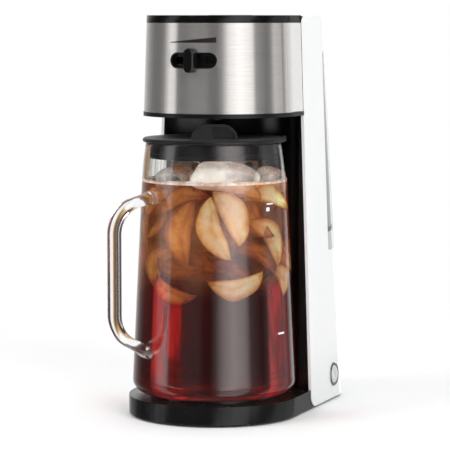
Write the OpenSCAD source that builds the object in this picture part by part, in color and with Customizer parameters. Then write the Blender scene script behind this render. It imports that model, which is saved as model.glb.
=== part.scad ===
// Countertop iced tea maker. A tapered rear housing holds the water tank and the heater, a steel
// clad head brews above a glass pitcher, and the pitcher stands on a round-fronted base.
// Frame: +X right, +Y back, +Z up. The origin is on the table under the middle of the object.

/* [Base] */
// Height of the rubber feet
foot_h = 2.2; // [1.8:0.1:5]
// Radius of a rubber foot
foot_r = 7; // [5:0.5:8]
// Height of the base above its feet
base_h = 15.3; // [14:0.1:20]
// Radius of the round front of the base
base_r = 74.5; // [73:0.5:75.5]
// Wall of the base moulding
base_wall = 2.5; // [1.5:0.1:3]
// Thickness of the floor plate
plate_t = 2; // [1.2:0.1:3]
// Pitcher axis, in front of the origin
seat_y = -31; // [-33:0.5:-30]
// Height of the round seat on the base
seat_h = 2.4; // [1:0.1:4]
// Radius of the round seat on the base
seat_r = 56; // [50:1:60]

/* [Rear housing] */
// Height of the housing's top deck above the table
house_h = 344.5; // [335:0.5:360]
// Half width of the housing at the table
house_w_foot = 75.5; // [74.5:0.5:80]
// Half width of the housing at its top
house_w_top = 64.2; // [62.5:0.1:70]
// Back of the housing at the table
house_back_foot = 123; // [120:0.5:128]
// Back of the housing at its top
house_back_top = 102; // [100.5:0.5:106]
// Radius of the housing's two back corners
house_corner = 40; // [30:1:45]
// Wall of the housing
house_wall = 2.5; // [2:0.1:3]
// Front edge of the housing's sides
house_front = 10; // [9:0.5:11]
// Rounding of the housing's upper front corner
round_top = 7; // [4:0.5:9]
// Rounding of the housing's lower front corner
round_foot = 11; // [8:0.5:12]
// Thickness of the top deck
deck_t = 5.2; // [4.8:0.1:6]
// Wall of the black column panel
panel_t = 2.5; // [1.5:0.1:3]

/* [Head] */
// Axis of the round front of the head
drum_y = -16; // [-18:0.5:-15]
// Depth of the head, from the housing's deck to its underside
head_h = 85.5; // [84:0.5:86]
// Thickness of the plate under the head
under_t = 3.5; // [2.5:0.1:4]
// How far the plate under the head stands proud of the steel
under_lip = 0.4; // [0:0.1:1]
// Thickness of the steel band
band_t = 0.8; // [0.5:0.1:1.2]
// Width of the black seam between the steel and the housing
seam = 1.2; // [0.5:0.1:2]
// Wall of the head frame
frame_t = 2; // [1.5:0.1:2.5]
// Thickness of the plate that carries the basket
ring_t = 2; // [1.5:0.1:3]
// Radius of the well that the basket hangs in
well_r = 38; // [35:0.5:38.5]

/* [Strength lever] */
// Half angle of the slot in the steel
slot_deg = 19; // [17:0.5:21]
// Height of the slot
slot_h = 13.5; // [12:0.5:15]
// Middle of the slot below the housing's deck
slot_drop = 37; // [35:0.5:39]
// Width of the lever's grip
grip_w = 9; // [7:0.5:10]
// Height of the lever's grip
grip_h = 20.5; // [18:0.5:24]
// How far the grip stands out of the steel
grip_out = 9; // [6:0.5:11]
// Width of the lever's neck in its slit
neck_w = 5; // [4:0.5:6]
// Height of the slit behind the slot
slit_h = 6; // [5:0.5:7]
// Swing of the lever to each side of the middle
lever_swing = 14; // [10:0.5:14]

/* [Brew basket] */
// Gap round the basket in its well
basket_gap = 0.6; // [0.4:0.1:1.5]
// Wall of the basket
basket_wall = 1.8; // [1.2:0.1:2.5]
// Depth of the basket below its flange
basket_d = 66; // [58:1:68]
// Draft of the basket's wall over its depth
basket_draft = 2; // [0:0.5:3]
// Outer radius of the outlet under the basket
outlet_r = 7.5; // [6:0.5:9]
// Bore radius of the outlet under the basket
outlet_bore = 4.5; // [3:0.5:5]
// Gap between the outlet and the tallest part of the pitcher's lid
outlet_gap = 1.2; // [0.8:0.1:2]
// Depth of the tea filter
filter_d = 44; // [36:1:46]
// Radius of the tea filter's frame at its rim
filter_r = 33; // [30:0.5:33.5]
// Width of the filter's ribs
rib_w = 3; // [2:0.5:4]
// Number of upright ribs round the filter
rib_count = 8; // [6:1:12]

/* [Basket lid] */
// Thickness of the lid's plate
lid_t = 2.2; // [1.6:0.1:2.4]
// Height of the lid's outer rim
lid_h = 5.8; // [5.4:0.1:6.5]
// Radius of the hinge pins
pin_r = 1; // [0.8:0.1:1.2]
// Radius of the hinge knuckles
knuckle_r = 2.2; // [2:0.1:2.4]
// Half length of the basket lid's knuckle
knuckle_half = 16; // [12:1:20]
// Width of a hinge ear
ear_w = 4; // [3:0.5:5]

/* [Water tank] */
// Underside of the tank above the table
tank_z = 60; // [58:1:70]
// Wall of the tank
tank_wall = 2; // [1.5:0.1:2.5]
// Lip of the tank's top between its front wall and the mouth
tank_lip = 1; // [0.5:0.5:4]
// Corner radius of the tank's mouth
tank_mouth_r = 2; // [1:0.5:10]
// Gap between the tank and the housing
tank_gap = 0.8; // [0.5:0.1:1.5]
// Front limit of the tank's two side lobes
lobe_y = 36; // [35:0.5:40]
// Half width of the filling hole in the deck
fill_w = 46; // [40:1:47]
// Front edge of the filling hole
fill_front = 42; // [40:0.5:48]
// Back edge of the filling hole
fill_back = 80; // [76:0.5:81]
// Ledge round the filling hole
ledge = 3; // [2:0.5:3]
// Thickness of the tank's lid
cover_t = 2.1; // [1.5:0.1:2.4]
// Radius of the tank lid's knuckles
cover_knuckle = 2.4; // [2.2:0.1:2.6]

/* [Level window] */
// Bottom of the window above the table
window_z0 = 136; // [120:1:150]
// Top of the window below the housing's deck
window_drop = 29; // [26:0.5:50]
// Width of the window
window_w = 22; // [16:0.5:24]
// Direction that the window faces, turned from +X towards the back
window_deg = 20; // [16:1:24]
// Front edge of the window, measured square to that direction
window_edge = 37; // [35:0.5:39]
// Depth of the window below the housing's surface
window_in = 0.8; // [0.4:0.1:1]
// Bar across the window above the table
window_bar_z = 154.5; // [150:0.5:200]

/* [Power button] */
// Middle of the button along the side
button_y = 71; // [68:0.5:74]
// Middle of the button above the table
button_z = 23; // [22:0.5:30]
// Radius of the bright ring
ring_r = 10.75; // [9.5:0.25:12]
// Radius of the button's cap
cap_r = 8.2; // [6.5:0.1:8.4]
// Travel of the button
press = 2; // [1:0.1:2.5]

/* [Pitcher] */
// Height between the pitcher's mouth and the head
jug_room = 22; // [21.5:0.5:25]
// Largest radius of the glass
jug_r = 71.2; // [69:0.1:72]
// How fast the glass narrows upwards, radius per height
jug_lean = 0.049; // [0.04:0.001:0.055]
// Radius of the glass at its mouth
jug_mouth = 59.1; // [58.6:0.1:60]
// Height of the curved neck below the mouth
jug_neck = 32; // [24:1:40]
// Rounding of the glass at its foot
jug_round = 11; // [8:0.5:13]
// Wall of the glass
jug_wall = 3; // [2.6:0.1:3.2]
// Thickness of the glass floor
jug_floor = 6; // [4:0.5:8]
// Gap between the glass and the column behind it
jug_gap = 3.8; // [3:0.1:5]
// Direction of the handle, turned from the front towards the right
handle_deg = -34; // [-45:1:-20]
// Middle of the handle's upright from the pitcher's axis
handle_reach = 101.8; // [98:0.1:104]
// Width of the handle's bar
bar_w = 14; // [11:0.5:15]
// Thickness of the handle's bar
bar_t = 9; // [7:0.5:10]
// Radius of the handle's two bends
bend_r = 27; // [22:0.5:30]
// Bottom of the handle's upright above the seat
upright_z0 = 73; // [65:0.5:80]
// Top of the handle's upright below the mouth
upright_drop = 75.5; // [72:0.5:85]
// How far the pouring lip stands out
lip_out = 6; // [4:0.5:8]

/* [Pitcher lid] */
// Radius of the lid
cap_disc_r = 62; // [60.5:0.1:63]
// Thickness of the lid's disc
cap_disc_t = 3.4; // [2.5:0.1:4]
// Gap between the lid's skirt and the glass
skirt_gap = 0.6; // [0.4:0.1:1]
// Depth of the lid's skirt
skirt_d = 14; // [12:0.5:18]
// Wall of the lid's skirt
skirt_t = 1.8; // [1.4:0.1:2.5]
// Direction of the finger grip, turned from the front towards the right
tab_deg = 22; // [10:1:30]
// Width of the finger grip
tab_w = 39; // [32:0.5:42]
// Height of the finger grip above the lid's disc
tab_h = 13.8; // [11:0.1:14]
// Thickness of the finger grip
tab_t = 9; // [7:0.5:10]
// Direction of the straining slots, turned from the front towards the right
strain_deg = 56; // [45:1:60]
// Number of straining slots
strain_count = 6; // [4:1:8]
// Width of one straining slot
strain_w = 1.4; // [1:0.1:1.6]
// Radius of the drip hole in the lid
drip_r = 8; // [6.5:0.5:9]

/* [Fits] */
// Gap between fixed pieces that lie against each other
fit = 0.15; // [0.1:0.05:0.25]
// Gap under a piece that only rests on another
rest_gap = 0.1; // [0.05:0.05:0.2]
// Radial gap round a hinge pin
pin_gap = 0.05; // [0.02:0.01:0.1]
// Gap beside a moving knuckle, lever or button
run_gap = 0.4; // [0.3:0.05:0.5]

/* [Hidden] */
$fn = 64;

// Colours
black = [0.05, 0.05, 0.055];
white = [0.93, 0.94, 0.94];
steel = [0.72, 0.71, 0.7];
bright = [0.85, 0.86, 0.88];
rubber = [0.12, 0.12, 0.12];
glass = [0.86, 0.92, 0.93, 0.35];
smoke = [0.6, 0.64, 0.66, 0.5];
silicone = [0.8, 0.8, 0.78];

// Levels
base_top = foot_h + base_h;
seat_top = base_top + seat_h;
jug_z = seat_top + rest_gap;
head_z = house_h - head_h;
jug_h = head_z - jug_z - jug_room;
band_z = head_z + under_t;
slot_z = house_h - slot_drop;
ring_z1 = house_h - 5;
band_top = ring_z1 - 0.5;
flange_z = ring_z1 + rest_gap;
flange_t = 1.4;
basket_floor = ring_z1 - basket_d;
lid_z0 = flange_z + flange_t + rest_gap;
lid_top = ring_z1 + rest_gap + lid_h;
deck_z = house_h - deck_t;
wide = 200;

// Half width and back of the housing at a height
function half_w(z) = house_w_foot + (house_w_top - house_w_foot) * z / house_h;
function back_y(z) = house_back_foot + (house_back_top - house_back_foot) * z / house_h;
side_tilt = atan((house_w_foot - house_w_top) / house_h);
back_tilt = atan((house_back_foot - house_back_top) / house_h);
column_r = jug_r + jug_gap;

// Point that far from the pitcher's axis in a direction turned from the front to the right
module from_seat(angle, reach = 0, z = 0)
    translate([0, seat_y, z]) rotate([0, 0, angle]) translate([0, -reach, 0]) children();

// Mirrored pair about the middle plane
module both_sides() {
    children();
    mirror([1, 0, 0]) children();
}

// Block whose two sides lean in with the housing
module leaning_block(inset, z0, z1, y0, y1)
    translate([0, y1, 0]) rotate([90, 0, 0]) linear_extrude(y1 - y0)
        polygon([
            [inset - half_w(z0), z0], [half_w(z0) - inset, z0],
            [half_w(z1) - inset, z1], [inset - half_w(z1), z1]
        ]);

// Round-fronted form of the head, set in from its outside
module drum_form(inset, z0, z1, back)
    union() {
        translate([0, drum_y, 0]) rotate([0, 0, 180]) rotate_extrude(angle = 180)
            polygon([[0, z0], [half_w(z0) - inset, z0], [half_w(z1) - inset, z1], [0, z1]]);
        leaning_block(inset, z0, z1, drum_y, back);
    }

// Thin slice of the housing's outline, set in from its outside
module housing_slice(inset, z)
    translate([0, 0, z]) linear_extrude(0.01)
        union() {
            corner = house_corner - inset;
            mid = half_w(z) - house_corner;
            for (side = [-1, 1])
                translate([side * mid, back_y(z) - house_corner]) circle(r = corner, $fn = 96);
            translate([-mid, 0]) square([2 * mid, back_y(z) - inset]);
            translate([inset - half_w(z), 0])
                square([2 * (half_w(z) - inset), back_y(z) - house_corner]);
        }

// Tapered form of the housing between two heights, open to the front
module housing_form(inset, z0, z1)
    hull() {
        housing_slice(inset, z0);
        housing_slice(inset, z1 - 0.01);
    }

// Rectangle with round corners
module round_rect(x0, x1, y0, y1, r)
    union() {
        translate([x0 + r, y0]) square([x1 - x0 - 2 * r, y1 - y0]);
        translate([x0, y0 + r]) square([x1 - x0, y1 - y0 - 2 * r]);
        for (x = [x0 + r, x1 - r], y = [y0 + r, y1 - r]) translate([x, y]) circle(r = r);
    }

// Base
tongue_w = house_w_foot - house_wall - 1;
tongue_y = house_front + round_foot + fit;
screw_r = 1.5;
boss_r = 4.2;
front_screws = [[-48, -62], [48, -62]];
screw_len = 10;
back_screws = [for (side = [-1, 1])
    [side * (house_w_foot - house_corner + 24.5), house_back_foot - house_corner + 22]];
front_foot = [base_r - 31.5, seat_y - base_r + 27.5];
back_foot = [house_w_foot - 27.5, house_back_foot - 31];
feet = [for (side = [-1, 1]) for (foot = [front_foot, back_foot]) [side * foot[0], foot[1]]];

module tray_plan(inset)
    union() {
        intersection() {
            translate([0, seat_y]) circle(r = base_r - inset, $fn = 128);
            translate([-wide, -wide]) square([2 * wide, wide + seat_y]);
        }
        translate([inset - base_r, seat_y]) square([2 * (base_r - inset), house_front - seat_y]);
    }

// Piece that fills the housing's rounded lower corner, as thick as the base's wall
module tray_cheek()
    difference() {
        translate([base_r - base_wall, house_front, foot_h])
            cube([base_wall, round_foot, round_foot]);
        translate([0, house_front + round_foot, foot_h + rest_gap + round_foot])
            rotate([0, 90, 0]) cylinder(h = wide, r = round_foot + fit);
    }

module base_tray() color(black)
    difference() {
        union() {
            difference() {
                translate([0, 0, foot_h]) linear_extrude(base_h) tray_plan(0);
                translate([0, 0, foot_h - 1]) linear_extrude(base_h - base_wall + 1)
                    union() {
                        tray_plan(base_wall);
                        translate([base_wall - base_r, 0])
                            square([2 * (base_r - base_wall), house_front + 1]);
                    }
            }
            translate([0, seat_y, base_top - 1]) cylinder(h = seat_h + 1, r = seat_r, $fn = 128);
            translate([-tongue_w, house_front, base_top - base_wall])
                cube([2 * tongue_w, column_r + panel_t + seat_y - house_front, base_wall]);
            both_sides() tray_cheek();
            for (p = front_screws)
                translate([p[0], p[1], foot_h + plate_t + fit])
                    cylinder(h = base_h - base_wall, r = boss_r);
        }
        for (p = front_screws)
            translate([p[0], p[1], foot_h]) cylinder(h = base_h - base_wall, r = screw_r + 0.05);
    }

module base_plate() color(black)
    difference() {
        union() {
            translate([0, 0, foot_h]) linear_extrude(plate_t) tray_plan(base_wall + fit);
            translate([base_wall + fit - base_r, 0, foot_h])
                cube([2 * (base_r - base_wall - fit), tongue_y, plate_t]);
            intersection() {
                housing_form(house_wall + fit, foot_h, foot_h + plate_t);
                translate([-wide, tongue_y, 0]) cube([2 * wide, wide, wide]);
            }
        }
        for (p = concat(front_screws, back_screws))
            translate([p[0], p[1], 0]) cylinder(h = 2 * (foot_h + plate_t), r = screw_r + 0.05);
    }

module rubber_feet() color(rubber)
    for (p = feet)
        translate([p[0], p[1], 0]) rotate_extrude()
            polygon([[0, 0], [foot_r - 0.8, 0], [foot_r, 0.8], [foot_r, foot_h], [0, foot_h]]);

module base_screws() color(steel)
    for (p = concat(front_screws, back_screws))
        translate([p[0], p[1], foot_h - 1.5])
            difference() {
                union() {
                    cylinder(h = 1.5, r = 3);
                    cylinder(h = screw_len, r = screw_r);
                }
                for (turn = [0, 90])
                    rotate([0, 0, turn]) translate([-1.8, -0.4, -1]) cube([3.6, 0.8, 2]);
            }

// Column: a concave black panel between the housing's front edges
module column_panel() color(black)
    difference() {
        intersection() {
            union() {
                translate([0, seat_y, base_top])
                    cylinder(h = head_z - base_top, r = column_r + panel_t, $fn = 128);
                translate([-wide, house_front, base_top])
                    cube([2 * wide, panel_t, head_z - base_top]);
                for (side = [-1, 1])
                    translate([side * (column_r - 8) - panel_t / 2, house_front, base_top])
                        cube([panel_t, 12, head_z - base_top]);
            }
            leaning_block(house_wall + fit, base_top, head_z, house_front, wide);
        }
        translate([0, seat_y, 0]) cylinder(h = wide * 2, r = column_r, $fn = 128);
    }

// Housing
window_z1 = house_h - window_drop;
window_mid = (window_z0 + window_z1) / 2;

module window_prism(grow)
    rotate([0, 0, window_deg]) rotate([90, 0, 90]) translate([0, 0, house_w_top / 2]) linear_extrude(wide)
        union() {
            round_rect(window_edge - grow, window_edge + window_w + grow,
                       window_mid, window_z1 + grow, 6);
            round_rect(window_edge - grow, window_edge + window_w + grow,
                       window_z0 - grow, window_mid + 10, 2);
        }

// Places a piece on the housing's right side, pointing out of it
module on_side(y, z)
    translate([half_w(z), y, z]) rotate([0, 90 - side_tilt, 0]) children();

// Notch for the cord gland, open at the housing's lower edge, narrowed by an inset
module gland_notch(inset, from, depth)
    on_back(gland_x, gland_z)
        translate([inset - notch_w / 2, inset - notch_up, from])
            cube([notch_w - 2 * inset, notch_up + 2 * gland_z, depth]);

// Places a piece on the housing's back, pointing out of it
module on_back(x, z)
    translate([x, back_y(z), z]) rotate([-90 + back_tilt, 0, 0]) children();

gland_x = 19;
gland_z = 16;
gland_r = 6;
notch_w = 28;
notch_up = 13;
collar_w = 2;
collar_t = 1.4;
gland_bore = 3.6;
gland_out = 3;
gland_in = 9;
hinge_y = fill_back + ledge + cover_knuckle;
hinge_z = house_h - 1.3;
cover_knuckle_x = 43.5;
cover_knuckle_w = 5;
cover_ear_w = 3.5;

module rear_housing() color(white)
    difference() {
        union() {
            difference() {
                housing_form(0, foot_h + rest_gap, house_h);
                difference() {
                    housing_form(house_wall, foot_h, deck_z);
                    for (p = back_screws) translate([p[0], p[1], foot_h + plate_t + fit])
                        cylinder(h = 14, r = boss_r + 1.5);
                }
                translate([-wide, -1, 0]) cube([2 * wide, house_front + 1, 2 * wide]);
            }
        }
        // Rounded front corners, seen from the side
        side_corner(house_front, foot_h + rest_gap, round_foot, 1);
        side_corner(house_front, house_h, round_top, -1);
        for (p = back_screws)
            translate([p[0], p[1], foot_h]) cylinder(h = 13, r = screw_r + 0.05);
        window_prism(0);
        on_side(button_y, button_z)
            translate([0, 0, -20]) cylinder(h = 40, r = ring_r - 1.5);
        gland_notch(0, -20, 40);
        // Filling hole, the recess for its lid, and the recess for the hinge
        translate([0, 0, deck_z - 1]) linear_extrude(deck_t + 2)
            round_rect(-fill_w, fill_w, fill_front, fill_back, 10);
        translate([0, 0, house_h - cover_t - rest_gap]) linear_extrude(cover_t + 1)
            round_rect(-fill_w - ledge, fill_w + ledge, fill_front - ledge, fill_back + ledge, 12);
        both_sides()
            translate([cover_knuckle_x - run_gap, fill_back - 8,
                       hinge_z - cover_knuckle - run_gap])
                cube([cover_knuckle_w + 2 * run_gap, hinge_y + cover_knuckle + run_gap
                      - fill_back + 8, deck_t]);
        both_sides()
            translate([cover_knuckle_x - 1, hinge_y, hinge_z]) rotate([0, 90, 0])
                cylinder(h = cover_knuckle_w + cover_ear_w + 2, r = pin_r + pin_gap);
    }

// Cuts a square corner down to a quarter round across the whole width
module side_corner(y, z, r, way)
    difference() {
        translate([-wide, y - 1, way > 0 ? z - 1 : z - r]) cube([2 * wide, r + 1, r + 1]);
        translate([-wide, y + r, z + way * r]) rotate([0, 90, 0])
            cylinder(h = 2 * wide, r = r);
    }

// Head
skin_in = band_t + fit;
bead_y = house_front - seam;
hole_r = outlet_r + 1.5;
nozzle_z = ring_z1 - 12;
nozzle_r = 5;
socket_w = 28;
riser_x = -55.5;
riser_y = 29.2;
riser_bend = 10;
hose_r = 3.4;
lever_r = half_w(slot_z);
liner_out = lever_r - 4;
carrier_r = liner_out - frame_t - run_gap;
carrier_t = 2;
slit_deg = lever_swing + asin((neck_w / 2 + run_gap) / (lever_r - 6));

// Wedge from the drum's axis that reaches a half angle to each side of the front
module front_wedge(half_deg, z0, z1)
    translate([0, drum_y, z0]) linear_extrude(z1 - z0)
        polygon([[0, 0], [-wide * sin(half_deg), -wide * cos(half_deg)],
                 [wide * sin(half_deg), -wide * cos(half_deg)]]);

// Round-ended slot cut forwards through the head's front
module front_slot(half_width, height)
    translate([0, drum_y, slot_z]) rotate([90, 0, 0]) linear_extrude(wide)
        union() {
            square([2 * half_width - height, height], center = true);
            for (side = [-1, 1]) translate([side * (half_width - height / 2), 0])
                circle(d = height);
        }

module head_frame() color(black)
    difference() {
        union() {
            // Plate under the head, which runs back over the column
            drum_form(-under_lip, head_z, band_z, house_front);
            leaning_block(house_wall + fit, head_z, band_z, house_front - 1, lobe_y - 1);
            intersection() {
                leaning_block(house_wall + fit, head_z, band_z, house_front - 1, wide);
                translate([0, seat_y, 0])
                    cylinder(h = 2 * wide, r = column_r + panel_t, $fn = 128);
            }
            // Skin behind the steel, and the plate that carries the basket
            difference() {
                drum_form(skin_in, band_z, ring_z1, bead_y);
                difference() {
                    drum_form(skin_in + frame_t, band_z - 1, ring_z1 - ring_t, bead_y - frame_t);
                    translate([0, seat_y, band_z - 2])
                        cylinder(h = ring_z1, r = well_r + frame_t, $fn = 96);
                }
            }
            // Edge over the steel
            drum_form(0, band_top, ring_z1, bead_y);
        }
        translate([0, seat_y, band_z]) cylinder(h = wide, r = well_r, $fn = 96);
        translate([0, seat_y, 0]) cylinder(h = 2 * wide, r = hole_r);
        translate([0, 0, nozzle_z]) rotate([-90, 0, 0]) cylinder(h = wide, r = nozzle_r + 0.05);
        // Way in for the lever's carrier and the liner round its slit
        intersection() {
            front_wedge(slot_deg + 6, slot_z - slot_h, slot_z + slot_h);
            translate([0, drum_y, 0]) difference() {
                cylinder(h = 2 * wide, r = lever_r + 5, $fn = 128);
                translate([0, 0, -1]) cylinder(h = 3 * wide, r = carrier_r - carrier_t - run_gap);
            }
        }
        translate([riser_x, riser_y, head_z - 1]) cylinder(h = 10, r = hose_r + 0.4);
    }

// Black strip between the head and the housing, with the socket of the water nozzle
module seam_strip() color(black)
    difference() {
        union() {
            leaning_block(0, band_z + rest_gap, house_h - round_top + 1, bead_y + rest_gap,
                          house_front - rest_gap);
            // Bead that fills the housing's rounded upper corner
            difference() {
                leaning_block(0, house_h - round_top, lid_top, bead_y + rest_gap,
                              house_front + round_top);
                translate([-wide, house_front + round_top, house_h - round_top])
                    rotate([0, 90, 0]) cylinder(h = 2 * wide, r = round_top + rest_gap);
                translate([-wide, house_front, house_h + rest_gap])
                    cube([2 * wide, 2 * round_top, 5]);
            }
            translate([-socket_w / 2, bead_y + rest_gap, nozzle_z - socket_w / 3])
                cube([socket_w, house_front + 10 - bead_y - rest_gap, socket_w * 2 / 3]);
        }
        translate([0, 0, nozzle_z]) rotate([-90, 0, 0]) cylinder(h = wide, r = nozzle_r + 0.05);
    }

module steel_band() color(steel)
    difference() {
        drum_form(0, band_z + rest_gap, band_top - rest_gap, bead_y - rest_gap);
        drum_form(band_t, band_z - 1, band_top + 1, bead_y + 1);
        front_slot(lever_r * sin(slot_deg), slot_h);
    }

// Curved black strip behind the slot, with the slit that the lever's neck slides in
module slot_liner() color(black)
    difference() {
        union() {
            intersection() {
                translate([0, drum_y, slot_z - slot_h / 2 - 4]) difference() {
                    cylinder(h = slot_h + 8, r = liner_out, $fn = 128);
                    translate([0, 0, -1])
                        cylinder(h = slot_h + 10, r = liner_out - frame_t, $fn = 128);
                }
                front_wedge(slot_deg + 5, 0, house_h);
            }
            // Lip that stands in the slot of the steel
            intersection() {
                translate([0, drum_y, 0]) difference() {
                    cylinder(h = house_h, r = half_w(slot_z + slot_h / 2) - band_t / 2, $fn = 128);
                    translate([0, 0, -1]) cylinder(h = 2 * wide, r = liner_out - 1, $fn = 128);
                }
                difference() {
                    front_slot(lever_r * sin(slot_deg) - fit, slot_h - 2 * fit);
                    front_slot(lever_r * sin(slot_deg) - fit - 1, slot_h - 2 * fit - 2);
                }
            }
        }
        intersection() {
            front_wedge(slit_deg, slot_z - slit_h / 2, slot_z + slit_h / 2);
            translate([0, drum_y, 0]) cylinder(h = 2 * wide, r = liner_out + 1);
        }
    }

// Lever: a neck through the slit and a tall grip with round ends
module strength_lever() color(black)
    union() {
        translate([-neck_w / 2, drum_y - lever_r - 1.5, slot_z - slit_h / 2 + run_gap])
            cube([neck_w, lever_r - carrier_r + 1.5, slit_h - 2 * run_gap]);
        translate([0, drum_y - lever_r - 1, slot_z]) rotate([90, 0, 0])
            linear_extrude(grip_out - 2) grip_outline(0);
        // Rounded front of the grip
        hull() {
            translate([0, drum_y - lever_r - grip_out + 1, slot_z]) rotate([90, 0, 0])
                linear_extrude(0.01) grip_outline(0);
            translate([0, drum_y - lever_r - grip_out, slot_z]) rotate([90, 0, 0])
                linear_extrude(0.01) grip_outline(1.2);
        }
    }

module grip_outline(inset)
    union() {
        square([grip_w - 2 * inset, grip_h - grip_w], center = true);
        for (side = [-1, 1]) translate([0, side * (grip_h - grip_w) / 2])
            circle(d = grip_w - 2 * inset, $fn = 32);
    }

// Curved shoe behind the liner that carries the lever
module lever_carrier() color(black)
    difference() {
        intersection() {
            translate([0, drum_y, slot_z - slot_h / 2]) difference() {
                cylinder(h = slot_h, r = carrier_r, $fn = 128);
                translate([0, 0, -1])
                    cylinder(h = slot_h + 2, r = carrier_r - carrier_t, $fn = 128);
            }
            front_wedge(9, 0, house_h);
        }
        translate([-neck_w / 2 - rest_gap, drum_y - carrier_r - 1, slot_z - slit_h / 2])
            cube([neck_w + 2 * rest_gap, 0.9 + 0.2, slit_h]);
    }

// Brewing: the basket, its outlet and its flange lift out with the lid
basket_r = well_r - basket_gap;
outlet_z = seat_top + jug_h + cap_disc_t + tab_h + outlet_gap + 2 * rest_gap;
axis_y = house_front - seam - knuckle_r - run_gap;
axis_z = lid_top - knuckle_r + 0.2;

module ear(x)
    translate([x, axis_y, axis_z]) rotate([0, 90, 0]) cylinder(h = ear_w, r = knuckle_r);

module brew_basket() color(black)
    difference() {
        union() {
            translate([0, seat_y, basket_floor])
                cylinder(h = basket_d + flange_t, r1 = basket_r - basket_draft, r2 = basket_r,
                         $fn = 96);
            drum_form(6, flange_z, flange_z + flange_t, axis_y);
            translate([0, seat_y, outlet_z])
                cylinder(h = basket_floor - outlet_z + 1, r = outlet_r);
            both_sides() {
                ear(knuckle_half + run_gap);
                translate([knuckle_half + run_gap, axis_y - knuckle_r, flange_z])
                    cube([ear_w, 2 * knuckle_r, axis_z - flange_z]);
            }
        }
        translate([0, seat_y, basket_floor + basket_wall])
            cylinder(h = basket_d + 9, r1 = basket_r - basket_draft - basket_wall,
                     r2 = basket_r - basket_wall, $fn = 96);
        translate([0, seat_y, outlet_z - 1]) cylinder(h = basket_d, r = outlet_bore);
        // Inlet slot that faces the water nozzle
        translate([-nozzle_r - 1, seat_y + basket_r - 8, nozzle_z - nozzle_r - 1])
            cube([2 * nozzle_r + 2, 12, 2 * nozzle_r + 2]);
        translate([-wide / 2, axis_y, axis_z]) rotate([0, 90, 0])
            cylinder(h = wide, r = pin_r + pin_gap);
    }

filter_z = basket_floor + basket_wall + 3;
filter_foot_r = filter_r - 2.5;
rim_t = 3;
mesh_t = 0.5;

// Ribbed cup that stands in the basket
module filter_frame() color(rubber)
    union() {
        translate([0, seat_y, filter_z + filter_d - rim_t]) rotate_extrude()
            polygon([[filter_r - 2, 0], [filter_r, 0], [filter_r + 1, rim_t],
                     [filter_r - 2, rim_t]]);
        translate([0, seat_y, filter_z]) difference() {
            cylinder(h = rim_t, r = filter_foot_r);
            translate([0, 0, -1]) cylinder(h = rim_t + 2, r = filter_foot_r - 3);
        }
        for (i = [0 : rib_count - 1])
            translate([0, seat_y, 0]) rotate([0, 0, (i + 0.5) * 360 / rib_count]) {
                lean = atan((filter_r - filter_foot_r) / filter_d);
                translate([filter_foot_r, 0, filter_z]) rotate([0, lean, 0])
                    translate([-1.8, -rib_w / 2, 0.1]) cube([1.6, rib_w, filter_d - 1]);
                translate([2, -rib_w / 2, filter_z]) cube([filter_foot_r - 4, rib_w, 1.5]);
            }
        translate([0, seat_y, filter_z]) cylinder(h = 1.5, r = 5);
        // Feet on the basket's floor
        for (i = [0 : 2])
            translate([0, seat_y, 0]) rotate([0, 0, i * 120])
                translate([filter_foot_r - 3, 0, basket_floor + basket_wall + rest_gap])
                    cylinder(h = 4, r = 1.5);
        // Lugs to lift it by
        for (side = [-1, 1])
            translate([side * (filter_r - 1.5) - 1, seat_y - 5, filter_z + filter_d - 0.5])
                cube([2, 10, 6]);
    }

module filter_mesh() color(steel)
    translate([0, seat_y, filter_z + 1.5 + rest_gap])
        difference() {
            lift = filter_d - rim_t - 2;
            cylinder(h = lift, r1 = filter_foot_r - 3 - fit, r2 = filter_foot_r - 0.6 - fit);
            translate([0, 0, mesh_t])
                cylinder(h = lift, r1 = filter_foot_r - 3 - fit - mesh_t,
                         r2 = filter_foot_r - 0.6 - fit - mesh_t);
        }

module basket_lid_pin() color(bright)
    translate([-knuckle_half - run_gap - ear_w, axis_y, axis_z]) rotate([0, 90, 0])
        cylinder(h = 2 * (knuckle_half + run_gap + ear_w), r = pin_r);

// Black lid over the head, with a finger scoop in its front edge
scoop_r = 8;

module basket_lid() color(black)
    difference() {
        union() {
            difference() {
                drum_form(0, lid_top - lid_h, lid_top, axis_y);
                drum_form(4, lid_top - lid_h - 1, lid_top - lid_t, axis_y + 9);
            }
            translate([-knuckle_half, axis_y, axis_z]) rotate([0, 90, 0])
                cylinder(h = 2 * knuckle_half, r = knuckle_r);
        }
        both_sides()
            translate([knuckle_half, axis_y - knuckle_r - run_gap, lid_z0 - 5])
                cube([ear_w + 2 * run_gap, 3 * knuckle_r, 20]);
        translate([-wide, axis_y, axis_z]) rotate([0, 90, 0])
            cylinder(h = 2 * wide, r = pin_r + pin_gap);
        translate([0, drum_y - half_w(house_h) - 3, lid_top + 0.8 * scoop_r])
            rotate([-62, 0, 0]) cylinder(h = 4 * scoop_r, r = scoop_r, center = true);
    }

// Heater: a water tube and a heating tube cast side by side in a U
heat_in_right = 57;
heat_in_left = 44;
heat_x = house_w_foot - heat_in_right;
heat_y = 82;
heat_bend = 20;
heat_leg = 2 * house_w_foot - heat_in_right - heat_in_left;
heat_z = 26;
heat_r = 5;
hose_end = heat_x - heat_leg;
web_w = 5;
clamp_w = 8;
clamp_t = 1.5;
valve_len = 16;
valve_r = 5.5;
valve_tip_r = 2.9;
elbow_r = 5;

// Water tank and what hangs on it
outlet_x = hose_end - valve_len - 1 - rest_gap - elbow_r;
outlet_y = heat_y + heat_bend;
tank_in = house_wall + tank_gap;
nipple_r = 4.5;

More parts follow.
